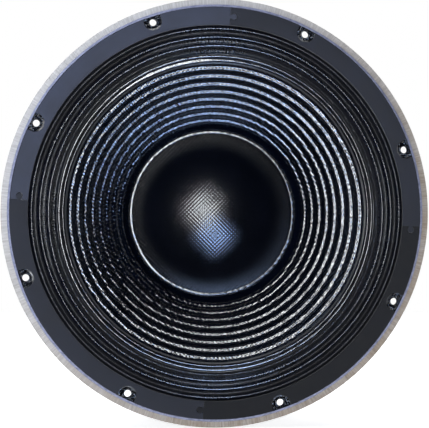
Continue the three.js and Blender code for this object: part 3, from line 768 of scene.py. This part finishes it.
def gasket():
    # each segment's tone is painted light and shade from the upper left, and partly its own nap
    for i, tone in enumerate(GASKET_SHADE_AND_NAP_TONES):
        outline = gasket_outline(HOLE_ANGLE - HOLE_PITCH / 2 + 90 * i)
        piece = extruded(f"gasket_foam_{i + 1}", outline, GASKET_FRONT, GASKET_REAR, GASKET_EDGE)
        show(piece, gasket_rubber_shaded(tone), "frame", [f"gasket_segment_{i + 1}"])


def cone_line(radius):
    return CONE_TOP_FRONT + (CONE_TOP - radius) * CONE_SLOPE


def cone_steps(start, end, count):
    """The cone's front surface between two radii: shallow treads that face forwards, and steep risers."""
    radii = np.linspace(start, end, count)
    root = np.sqrt(RIDGE_PITCH**2 + 4 * RIDGE_STRETCH * (radii - FIRST_RIDGE))
    step = (root - RIDGE_PITCH) / (2 * RIDGE_STRETCH)
    wave = np.tanh(STEP_SHARPNESS * np.cos(2 * math.pi * step))
    tread = np.interp(step, (0, RIDGES - 1), (INNER_TREAD_SLOPE, OUTER_TREAD_SLOPE))
    slope = -CONE_SLOPE + (CONE_SLOPE - tread) * wave / math.tanh(STEP_SHARPNESS)
    fall = np.concatenate([[0], np.cumsum((slope[1:] + slope[:-1]) / 2 * np.diff(radii))])
    drift = cone_line(end) - cone_line(start) - fall[-1]
    return [(r, cone_line(start) + f + drift * (r - start) / (end - start)) for r, f in zip(radii, fall)]


def cone(paper):
    last = RIDGES - 0.5
    start = FIRST_RIDGE - RIDGE_PITCH / 2
    end = FIRST_RIDGE + RIDGE_PITCH * last + RIDGE_STRETCH * last**2
    front = [(r, cone_line(r)) for r in np.linspace(NECK_INNER, start, 12, endpoint=False)]
    front += cone_steps(start, end, RIDGES * 18)
    front += [(CONE_TOP + 1 * MM, CONE_TOP_FRONT), (CONE_EDGE, CONE_TOP_FRONT)]
    slope = [(r, y + CONE_WALL) for r, y in front[-3::-3] if r > NECK_INNER + 2 * MM]
    rear = [(CONE_EDGE, CONE_TOP_FRONT + 1 * MM), (CONE_TOP + 0.4 * MM, CONE_TOP_FRONT + 1.3 * MM), *slope]
    neck = [(NECK_INNER + 1.2 * MM, NECK_REAR), (NECK_INNER, NECK_REAR)]
    piece = turned("cone_paper_body", [*front, *rear, *neck])
    show(piece, paper, "cone_assembly", ["cone"])


def follow_radius(piece):
    """Bakes the piece's placement into its mesh."""
    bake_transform(piece)


def surround(cloth):
    """Three pleats between the cone's edge and the basket's recess."""
    turns = [(VALLEYS[0], CONE_TOP_FRONT + 0.4 * MM)]
    for crest, valley in zip(CRESTS, VALLEYS[1:]):
        turns += [(crest, CREST_DEPTH), (valley, VALLEY_DEPTH)]
    turns[-1] = (VALLEYS[-1], SURROUND_SEAT)
    front = [(r, CONE_TOP_FRONT + y) for r, y in LAP]
    for (r0, y0), (r1, y1) in zip(turns, turns[1:]):
        fuller = CREST_FLATNESS if y1 < y0 else -CREST_FLATNESS
        for t in np.linspace(0, 1, 14, endpoint=False):
            rise = (1 - math.cos(math.pi * t)) / 2 + fuller * (1 - math.cos(2 * math.pi * t)) / 2
            front.append((r0 + (r1 - r0) * t, y0 + (y1 - y0) * rise))
    front += [turns[-1], (SURROUND_EDGE, SURROUND_SEAT)]
    piece = turned("surround_pleats", sheet_outline(front, SURROUND_WALL))
    show(piece, cloth, None, ["surround"])
    follow_radius(piece)


def glue_ring(name, radius, depth, width, height, material, seed, crown, pool=0.0):
    """A bead of glue on the cone, whose width and height wander. crown makes its top flatter, and pool is
    how far it has run out at the upper left."""
    rng = np.random.default_rng(seed)
    waves = []
    for n in rng.integers(3, 90, GLUE_WAVES):
        waves.append((int(n), rng.uniform(0, 2 * math.pi), rng.uniform(0.3, 1) / n**0.5))

    def shape(r, y, angle):
        run = pool * np.exp(-(((angle - POOL_ANGLE) / POOL_SPREAD) ** 2))
        wander = sum(size * np.sin(n * angle + phase) for n, phase, size in waves) * (1 - POOL_CALM * run)
        swell = 1 + GLUE_WANDER * wander
        crest = np.maximum(y, depth - height * (1 - POOL_DROP * run))
        out = radius + (r - radius) * (swell + POOL_WIDENING * run) + GLUE_SHIFT * wander
        return out, depth + (crest - depth) * swell

    outline = [(radius + width * u, depth - height * (1 - abs(u) ** crown)) for u in np.linspace(1, -1, 13)]
    outline += [(radius + width * u, depth + 0.25 * height) for u in (-0.8, 0.8)]
    piece = turned(name, outline, GLUE_STEPS, shape=shape)
    show(piece, material, "cone_assembly")


def dust_cap(cloth):
    curve = (CAP_RADIUS**2 + CAP_HEIGHT**2) / (2 * CAP_HEIGHT)
    centre = CAP_EDGE_DEPTH + curve - CAP_HEIGHT
    front = [(r, centre - math.sqrt(curve**2 - r**2)) for r in np.linspace(0, CAP_RADIUS, 64)]
    piece = turned("dust_cap_dome", sheet_outline(front, CAP_WALL), CAP_STEPS)
    show(piece, cloth, "cone_assembly", ["dust_cap"])


# ---------- the basket's arms and cup ----------


def arm_section(width, thickness, rib, depth):
    """The outline across an arm: a rounded slab with a tapering rib behind it, filleted where they meet."""
    half, foot, tip = width / 2, rib / 2 * 1.15, rib / 2 * 0.8
    right = rounded([
        (0, 0),
        (half, 0, 1.3 * MM),
        (half, thickness, 1.5 * MM),
        (foot, thickness, 2.6 * MM),
        (tip, depth, 1.1 * MM),
        (0, depth),
    ], 3)[:-1]
    left = [(-a, b) for a, b in right[::-1][:-1]]
    return [tuple(p) for p in right] + [(0, depth)] + left


def arm(degrees):
    """One arm, flared where it runs into the skirt and the cup, with both ends inside their walls."""
    top, foot = np.array(ARM_TOP), np.array(ARM_FOOT)
    length = np.linalg.norm(foot - top)
    along = (foot - top) / length
    behind = np.array((along[1], -along[0]))
    out, side = outwards_and_sideways(degrees)
    vertices = []
    for station in ARM_STATIONS:
        share = min(max(station, 0), 1)
        flare = TOP_FLARE * math.exp(-((share / FLARE_REACH) ** 2))
        flare += FOOT_FLARE * math.exp(-(((share - 1) / FLARE_REACH) ** 2))
        width = ARM_WIDTH + flare - ARM_WAIST * math.sin(math.pi * share)
        depth = ARM_THICKNESS + RIB_START + RIB_GROWTH * share**0.8
        centre = top + along * length * station
        for a, b in arm_section(width, ARM_THICKNESS, RIB_WIDTH + flare * 0.4, depth):
            r, y = centre + behind * b
            r, y = max(r, ARM_FOOT[0]), min(y, CUP_REAR - 1 * MM)
            inside = min(1, (BODY_RADIUS - 1.5 * MM) / math.hypot(r, a))
            vertices.append((out * r + side * a) * inside + Vector((0, y, 0)))
    return capped(vertices, len(ARM_STATIONS))


def at_terminal(offset=0.0):
    """Takes a piece made on the Y axis, outer end towards +Y, to the terminals' place on the basket."""
    out, side = outwards_and_sideways(TERMINAL_ANGLE)
    turn = Matrix((Vector((0, -1, 0)), out, side)).transposed().to_4x4()
    return Matrix.Translation(Vector((0, TERMINAL_DEPTH, 0)) + side * offset) @ turn


def basket_rear(paint):
    arms = mesh_object("basket_arms", *joined(arm(ARM_ANGLE + 360 / ARMS * i) for i in range(ARMS)), 50)
    show(arms, paint, "frame", ["basket"])
    cup = turned("basket_cup", [
        (SPIDER_SEAT_RADIUS, CUP_FRONT, 0.4 * MM),
        (CUP_RADIUS, CUP_FRONT, 1.0 * MM),
        (CUP_RADIUS, CUP_REAR, 1.5 * MM),
        (CUP_BORE, CUP_REAR, 0.8 * MM),
        (CUP_BORE, CUP_FLOOR, 0.8 * MM),
        (CUP_INNER, CUP_FLOOR, 1.5 * MM),
        (CUP_INNER, SPIDER_SEAT, 0.5 * MM),
        (SPIDER_SEAT_RADIUS, SPIDER_SEAT, 0.3 * MM),
    ], PLAIN_STEPS)
    show(cup, paint, "frame", ["basket"])
    half, bosses = BOARD_WIDTH / 2 - 1 * MM, []
    for middle in (-BOSS_SPACING / 2, BOSS_SPACING / 2):
        low, high = (-half, CUP_RADIUS - 6 * MM, middle - 4 * MM), (half, BOSS_FACE, middle + 4 * MM)
        bosses.append(block(low, high))
    piece = mesh_object("terminal_bosses", *joined(bosses))
    piece.data.transform(at_terminal())
    bevelled(piece, 1.0 * MM)
    show(piece, paint, "frame", ["basket"])


# ---------- spider, voice coil and leads ----------


def spider(cloth):
    front = [(SPIDER_INNER, SPIDER_PLANE), (SPIDER_FLAT_INNER - 1 * MM, SPIDER_PLANE)]
    rest = SPIDER_SEAT - 0.8 * MM
    for r in np.linspace(SPIDER_FLAT_INNER, SPIDER_FLAT_OUTER, 80):
        share = (r - SPIDER_FLAT_INNER) / (SPIDER_FLAT_OUTER - SPIDER_FLAT_INNER)
        wave = math.sin(2 * math.pi * SPIDER_ROLLS * share)
        front.append((r, SPIDER_PLANE + (rest - SPIDER_PLANE) * share - SPIDER_ROLL_HEIGHT * wave))
    front += [(SPIDER_FLAT_OUTER + 1.5 * MM, rest), (SPIDER_OUTER, rest)]
    piece = turned("spider_cloth", sheet_outline(front, SPIDER_WALL), PLAIN_STEPS)
    show(piece, cloth, None, ["spider"])
    follow_radius(piece)


def coil(film, copper):
    """The former, and the winding with a bulge for every turn of its wire."""
    start, end = depths("coil_former")
    outline = [(FORMER_INNER, start), (FORMER_OUTER, start), (FORMER_OUTER, end), (FORMER_INNER, end)]
    tube = turned("coil_former_tube", outline, PLAIN_STEPS)
    show(tube, film, "cone_assembly", ["coil_former"])
    start, end = depths("coil_winding")
    turns = int((end - start) / WIRE)
    wire = (end - start) / turns
    outline = [(COIL_INNER, start)]
    for i in range(turns):
        for t in (0, 0.25, 0.5, 0.75):
            outline.append((COIL_OUTER - wire * 0.35 * (1 - math.sin(math.pi * t)), start + wire * (i + t)))
    outline += [(COIL_OUTER - wire * 0.35, end), (COIL_INNER, end)]
    winding = turned("coil_winding_turns", outline, COIL_STEPS)
    show(winding, copper, "cone_assembly", ["coil_winding"])


def smooth_route(points, steps):
    """Points at even steps on a centripetal Catmull-Rom curve through the points."""
    p = [2 * points[0] - points[1], *points, 2 * points[-1] - points[-2]]
    made = []
    for i in range(1, len(p) - 2):
        knots = [0.0]
        for a, b in zip(p[i - 1 : i + 2], p[i : i + 3]):
            knots.append(knots[-1] + math.sqrt((b - a).length))
        for t in np.linspace(knots[1], knots[2], steps, endpoint=i == len(p) - 3):
            made.append(catmull_rom(p[i - 1 : i + 3], knots, t))
    return made


def catmull_rom(p, knots, t):
    def between(a, b, start, end):
        return a * ((end - t) / (end - start)) + b * ((t - start) / (end - start))

    a = [between(p[i], p[i + 1], knots[i], knots[i + 1]) for i in range(3)]
    b = [between(a[i], a[i + 1], knots[i], knots[i + 2]) for i in range(2)]
    return between(b[0], b[1], knots[1], knots[2])


def plaited(route, number):
    """One strand that winds round a route, in and out of the others."""
    hand, centres = 1 if number % 2 else -1, []
    for i, (here, side, up) in enumerate(carried(route)):
        turn = hand * i * STRAND_TURN + 2 * math.pi * (number // 2 * 2) / LEAD_STRANDS
        out = STRAND_REACH * (1 + 0.12 * hand * math.cos(turn * 3))
        centres.append((here + (side * math.cos(turn) + up * math.sin(turn)) * out, side, up))
    return tube_body(centres, STRAND_RADIUS, 6)


def leads(braid):
    """Each lead is plaited round its route."""
    out, side = outwards_and_sideways(TERMINAL_ANGLE)
    for pole, offset in (("positive", TERMINAL_SPACING / 2), ("negative", -TERMINAL_SPACING / 2)):
        points = []
        for r, y, share in LEAD_ROUTE:
            points.append(out * r * MM + Vector((0, y * MM, 0)) + side * share * offset)
        route = smooth_route(points, 14)
        strands = joined(plaited(route, number) for number in range(LEAD_STRANDS))
        piece = mesh_object(f"coil_lead_braid_{pole}", *strands)
        show(piece, braid, None, [f"coil_lead_{pole}"])
        follow_radius(piece)


# ---------- motor ----------


def top_plate(steel):
    start, end = depths("top_plate")
    plate = turned("top_plate_disc", [
        (PLATE_BORE, start, 0.4 * MM),
        (PLATE_RADIUS, start, 1.5 * MM),
        (PLATE_RADIUS, end, 1.5 * MM),
        (PLATE_BORE, end, 0.4 * MM),
    ], PLAIN_STEPS)
    show(plate, steel, "frame", ["top_plate"])


def magnet(ceramic):
    """A ferrite ring with chips along its edges."""
    start, end = depths("magnet")
    phases = np.random.default_rng(7).uniform(0, 2 * math.pi, (2, CHIP_WAVES))

    def chipped(r, y, angle):
        nick = 0
        for n, slow, fast in zip(range(3, 3 + CHIP_WAVES), *phases):
            nick = nick + np.sin(n * angle + slow) * np.sin(3 * n * angle + fast) / 5
        edge = (r > MAGNET_RADIUS - 2.2 * MM) & (r < MAGNET_RADIUS - 0.01 * MM)
        return np.where(edge, r - CHIP_DEPTH * np.clip(nick - 0.35, 0, 1), r), y

    ring = turned("magnet_ring", [
        (MAGNET_BORE, start, 1.0 * MM),
        (MAGNET_RADIUS, start, 2.0 * MM),
        (MAGNET_RADIUS, end, 2.0 * MM),
        (MAGNET_BORE, end, 1.0 * MM),
    ], MAGNET_STEPS, shape=chipped)
    show(ring, ceramic, "frame", ["magnet"])


def back_plate(steel):
    """The back plate and pole in one, with a turned groove that centres the magnet in its press."""
    front, rear = depths("back_plate_and_pole")
    yoke = turned("back_plate_forging", [
        (VENT_RADIUS, front, 2.5 * MM),
        (POLE_RADIUS, front, 1.2 * MM),
        (POLE_RADIUS, rear - BACK_THICKNESS, 1.0 * MM),
        (PLATE_RADIUS, rear - BACK_THICKNESS, 1.2 * MM),
        (PLATE_RADIUS, rear, 1.5 * MM),
        (GROOVE_RADIUS + 1.2 * MM, rear, 0.3 * MM),
        (GROOVE_RADIUS, rear - 0.8 * MM, 0.3 * MM),
        (GROOVE_RADIUS - 1.2 * MM, rear, 0.3 * MM),
        (VENT_MOUTH + 8 * MM, rear, 1.5 * MM),
        (VENT_MOUTH + 5 * MM, rear - 1.2 * MM, 1.0 * MM),
        (VENT_MOUTH, rear - 1.2 * MM, 0.6 * MM),
        (VENT_MOUTH, rear - VENT_MOUTH_DEPTH, 0.3 * MM),
        (VENT_RADIUS, rear - VENT_MOUTH_DEPTH, 1.0 * MM),
    ], PLAIN_STEPS)
    show(yoke, steel, "frame", ["back_plate_and_pole"])


def vent_screen(mesh_steel):
    """Woven wire across the vent's mouth, held in a pressed rim."""
    (_, front, _), (radius, rear, _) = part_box("vent_screen")
    count, wires = int((radius - 1.5 * MM) / MESH_PITCH), []
    for i in range(-count, count + 1):
        across = i * MESH_PITCH
        reach = math.sqrt((radius - 1.2 * MM) ** 2 - across**2)
        for upright in (False, True):
            route = []
            for along in np.arange(-reach, reach, MESH_PITCH / 6):
                lift = MESH_LIFT * math.cos(math.pi * (along / MESH_PITCH + i)) * (-1 if upright else 1)
                x, z = (across, along) if upright else (along, across)
                route.append(Vector((x, (front + rear) / 2 + lift, z)))
            wires.append(tube_body(carried(route), MESH_WIRE, 6))
    weave = mesh_object("vent_screen_wires", *joined(wires))
    show(weave, mesh_steel, "frame", ["vent_screen"])
    rim = turned("vent_screen_rim", [
        (radius - 2.2 * MM, front, 0.3 * MM),
        (radius, front, 0.3 * MM),
        (radius, rear, 0.4 * MM),
        (radius - 2.2 * MM, rear, 0.4 * MM),
    ], SCREEN_STEPS)
    show(rim, mesh_steel, "frame", ["vent_screen"])


# ---------- terminals ----------


def terminals(board_sheet, nickel, zinc, red, black):
    low = (-BOARD_WIDTH / 2, BOARD_INNER, -BOARD_LENGTH / 2)
    high = (BOARD_WIDTH / 2, BOARD_OUTER, BOARD_LENGTH / 2)
    board = mesh_object("terminal_board_sheet", *block(low, high))
    offsets = (-TERMINAL_SPACING / 2, TERMINAL_SPACING / 2)
    cut(board, [cylinder(1.5 * MM, (0, 100 * MM, offset), (0, 112 * MM, offset)) for offset in offsets])
    board.data.transform(at_terminal())
    bevelled(board, 0.4 * MM)
    show(board, board_sheet, "frame", ["terminal_board"])
    poles = (("positive", 1, red, "button_red"), ("negative", -1, black, "button_black"))
    for pole, sign, plastic, slot in poles:
        place = at_terminal(sign * TERMINAL_SPACING / 2)
        post(pole, place, nickel)
        button(pole, place, plastic)
        spring(pole, place, nickel)
        board_screw(pole, at_terminal(sign * BOSS_SPACING / 2), zinc)


def cross_hole(distance):
    return cylinder(WIRE_HOLE_RADIUS, (-8 * MM, distance, 0), (8 * MM, distance, 0))


def post(pole, place, nickel):
    """A stem on the board with a flange at its foot, and a solder tail through the board."""
    piece = turned(f"terminal_stem_{pole}", [
        (0, BOARD_INNER - 3.6 * MM),
        (1.2 * MM, BOARD_INNER - 3.6 * MM, 0.3 * MM),
        (1.2 * MM, POST_BASE, 0.1 * MM),
        (5 * MM, POST_BASE, 0.3 * MM),
        (5 * MM, POST_BASE + 2 * MM, 0.4 * MM),
        (2.6 * MM, POST_BASE + 2 * MM, 0.3 * MM),
        (2.6 * MM, POST_TOP, 0.5 * MM),
        (0, POST_TOP),
    ], TURNED_STEPS, closed=False)
    cut(piece, [cross_hole(WIRE_HOLE)])
    piece.data.transform(place)
    show(piece, nickel, "frame", [f"terminal_post_{pole}"])


def button(pole, place, plastic):
    """A ribbed sleeve with a domed end, a collar at its foot and a cross hole for the wire."""
    def ribbed(r, y, angle):
        sleeve = (y > BUTTON_BASE + 5.4 * MM) & (y < BUTTON_END - 2.2 * MM) & (r > 4 * MM)
        return np.where(sleeve, r - BUTTON_GROOVE * (0.5 - 0.5 * np.cos(BUTTON_RIBS * angle)), r), y

    wall = [(5.2 * MM, BUTTON_BASE + 5.2 * MM + i * 0.9 * MM) for i in range(11)]
    piece = turned(f"terminal_sleeve_{pole}", [
        (2.95 * MM, BUTTON_END - 2 * MM),
        (2.95 * MM, BUTTON_BASE, 0.3 * MM),
        (5.5 * MM, BUTTON_BASE, 0.4 * MM),
        (5.5 * MM, BUTTON_BASE + 4.8 * MM, 0.3 * MM),
        *wall,
        (5.2 * MM, BUTTON_END, 1.4 * MM),
        (0, BUTTON_END),
        (0, BUTTON_END - 2 * MM),
    ], BUTTON_STEPS, shape=ribbed)
    cut(piece, [cross_hole(WIRE_HOLE + BUTTON_TRAVEL)])
    piece.data.transform(place)
    show(piece, plastic, f"button_{pole}", [f"terminal_button_{pole}"])


def spring(pole, place, nickel):
    start, end, last = POST_TOP + 0.6 * MM, BUTTON_END - 2.6 * MM, SPRING_TURNS * 24
    route = []
    for i in range(last + 1):
        a, b = polar(SPRING_RADIUS, 360 / 24 * i)
        route.append(Vector((a, start + (end - start) * i / last, b)))
    piece = mesh_object(f"terminal_coil_spring_{pole}", *tube_body(carried(route), SPRING_WIRE, 8))
    piece.data.transform(place)
    show(piece, nickel, None, [f"terminal_spring_{pole}"])
    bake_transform(piece)


def board_screw(pole, place, zinc):
    """A pan-head screw with a cross recess."""
    base = BOARD_OUTER + 0.3 * MM
    piece = turned(f"board_screw_pan_{pole}", [
        (0, base - 9 * MM),
        (1.1 * MM, base - 9 * MM, 0.3 * MM),
        (1.5 * MM, base - 8 * MM, 0.3 * MM),
        (1.5 * MM, base, 0.1 * MM),
        (3 * MM, base, 0.2 * MM),
        (3 * MM, base + 1.3 * MM, 0.6 * MM),
        (1.8 * MM, base + 2 * MM, 0.6 * MM),
        (0, base + 2 * MM),
    ], TURNED_STEPS, closed=False)
    for x, z in ((1.7 * MM, 0.3 * MM), (0.3 * MM, 1.7 * MM)):
        cut(piece, [block((-x, base + 1 * MM, -z), (x, base + 3 * MM, z))])
    piece.data.transform(place)
    show(piece, zinc, "frame", [f"board_screw_{pole}_side"])


def repaint(node, material):
    """Gives a hidden CAD node that stays its material."""
    materials = frame["nodes"][node].data.materials
    materials.clear()
    materials.append(material)


# ---------- camera, light and stage ----------


def aimed(place, target):
    """The matrix of a camera or light at the place that looks at the target."""
    turn = (Vector(target) - Vector(place)).to_track_quat("-Z", "Y").to_matrix().to_4x4()
    return Matrix.Translation(place) @ turn


def camera():
    """A camera to the left of the axis, whose frame the rim fills."""
    data = bpy.data.cameras.new("camera")
    data.sensor_width = SENSOR
    data.lens = SENSOR * (CAMERA_DISTANCE + RIM_FRONT) / (2 * RIM * RIM_SHARE)
    eye = (math.sin(CAMERA_AZIMUTH) * CAMERA_DISTANCE, -math.cos(CAMERA_AZIMUTH) * CAMERA_DISTANCE, 0)
    viewer = bpy.data.objects.new("camera", data)
    viewer.matrix_world = aimed(eye, CAMERA_TARGET)
    bpy.context.scene.collection.objects.link(viewer)
    bpy.context.scene.camera = viewer


def softbox(name, place, size, power, color, target=(0, 0, 0), glossy=True):
    """A rectangular light, size wide and high. glossy=False leaves it out of reflections."""
    data = bpy.data.lights.new(name, "AREA")
    data.shape = "RECTANGLE"
    data.size, data.size_y = size
    data.energy = power
    data.color = color
    light = bpy.data.objects.new(name, data)
    light.visible_camera = False
    light.visible_glossy = glossy
    light.matrix_world = aimed(place, target)
    bpy.context.scene.collection.objects.link(light)


def towards(azimuth, elevation, distance):
    """A point in front of the driver, at degrees to the right of its axis and above it."""
    a, e = math.radians(azimuth), math.radians(elevation)
    level = distance * math.cos(e)
    return level * math.sin(a), -level * math.cos(a), distance * math.sin(e)


def lights():
    white, cool, blue, middle = (0.93, 0.96, 1.0), (0.85, 0.92, 1.0), (0.42, 0.6, 1.0), (0, 0.05, 0)
    softbox("window", towards(-4.5, 1.5, 1.6), (0.37, 0.5), 5.6, white)
    softbox("above_camera", towards(1, 11, 1.55), (0.12, 0.12), 1.6, white)
    softbox("left_of_camera", towards(-7, 3, 1.55), (0.12, 0.4), 3, white)
    softbox("below_camera", towards(6, -19, 1.6), (0.32, 0.36), 11.5, blue)
    softbox("upper_left", (-0.52, -0.32, 0.48), (0.4, 0.4), 3.2, cool, glossy=False)
    softbox("overhead", (0, 0.5, 1.7), (1.2, 1.2), 20, (1, 1, 1), (0, 0.5, 0), glossy=False)
    softbox("behind_left", (-1.1, 1.1, 0.6), (0.7, 0.7), 9, white, middle)
    softbox("behind_right", (1.2, 1.0, 0.4), (0.7, 0.7), 7, white, middle)


def world():
    """White behind the object, and a dim blue surround in its reflections."""
    made = bpy.data.worlds.new("studio")
    made.use_nodes = True
    tree = made.node_tree
    tree.nodes.clear()
    mix = tree.nodes.new("ShaderNodeMixShader")
    for i, color, strength in ((1, (0.2, 0.4, 1, 1), 0.02), (2, (1, 1, 1, 1), 1)):
        background = tree.nodes.new("ShaderNodeBackground")
        background.inputs["Color"].default_value = color
        background.inputs["Strength"].default_value = strength
        tree.links.new(background.outputs[0], mix.inputs[i])
    ray = tree.nodes.new("ShaderNodeLightPath")
    output = tree.nodes.new("ShaderNodeOutputWorld")
    tree.links.new(ray.outputs["Is Camera Ray"], mix.inputs[0])
    tree.links.new(mix.outputs[0], output.inputs[0])
    bpy.context.scene.world = made


def stage():
    """A plain pale floor under the rim."""
    level, steps = -RIM - 0.6 * MM, 96
    floor = mesh_object("floor", [(x, 0.1 + y, level) for x, y in circle(1.7, steps)], [tuple(range(steps))])
    s = Shader("floor_pale", roughness=0.7, emission_strength=0.7, emission_color=(1, 1, 1, 1))
    s.tint(s.noise(s.place, 6), (0.84, 0.84, 0.84), (0.88, 0.88, 0.88))
    floor.data.materials.append(s.material)
    floor.visible_glossy = False


# ---------- assembly ----------

camera()
world()
lights()
stage()
bpy.context.scene.view_settings.view_transform = "Standard"

PAINT = basket_paint()
LACQUER = lacquer()
STEEL = plain_metal("motor_steel", (0.02, 0.021, 0.025), 0.3, 0.3, metallic=0.0, turned_marks=0.03 * MM)
ZINC = plain_metal("screw_zinc", (0.62, 0.62, 0.6), 0.3, 0.3)
NICKEL = plain_metal("terminal_nickel", (0.7, 0.66, 0.58), 0.2, 0.2)
RED, BLACK = moulded("button_red", (0.42, 0.012, 0.012)), moulded("button_black", (0.012, 0.012, 0.014))

basket_flange(PAINT, bare_rim(), basket_gloss(), lip_painted_highlight())
gasket()
cone(cone_paper())
surround(surround_cloth())
for name, radius, lift, width, height, seed, crown, pool in EDGE_BEADS:
    glue_ring(name, radius, CONE_TOP_FRONT - lift, width, height, LACQUER, seed, crown, pool)
dust_cap(cap_cloth())
basket_rear(PAINT)
spider(spider_cloth())
coil(former_film(), winding_copper())
leads(lead_braid())
top_plate(STEEL)
magnet(ferrite())
back_plate(STEEL)
vent_screen(plain_metal("screen_steel", (0.45, 0.45, 0.46), 0.35, 0.4))
terminals(laminate(), NICKEL, ZINC, RED, BLACK)
repaint("shorting_ring", plain_metal("ring_aluminium", (0.7, 0.7, 0.71), 0.35, 0.15, turned_marks=0.04 * MM))
for i in range(PLATE_SCREWS):
    repaint(f"plate_screw_{i + 1}", ZINC)
CAP_GLUE_DEPTH = cone_line(CAP_RADIUS) - 0.9 * MM
glue_ring("dust_cap_glue", CAP_RADIUS + 0.7 * MM, CAP_GLUE_DEPTH, 1.7 * MM, 1.9 * MM, LACQUER, 13, 7)
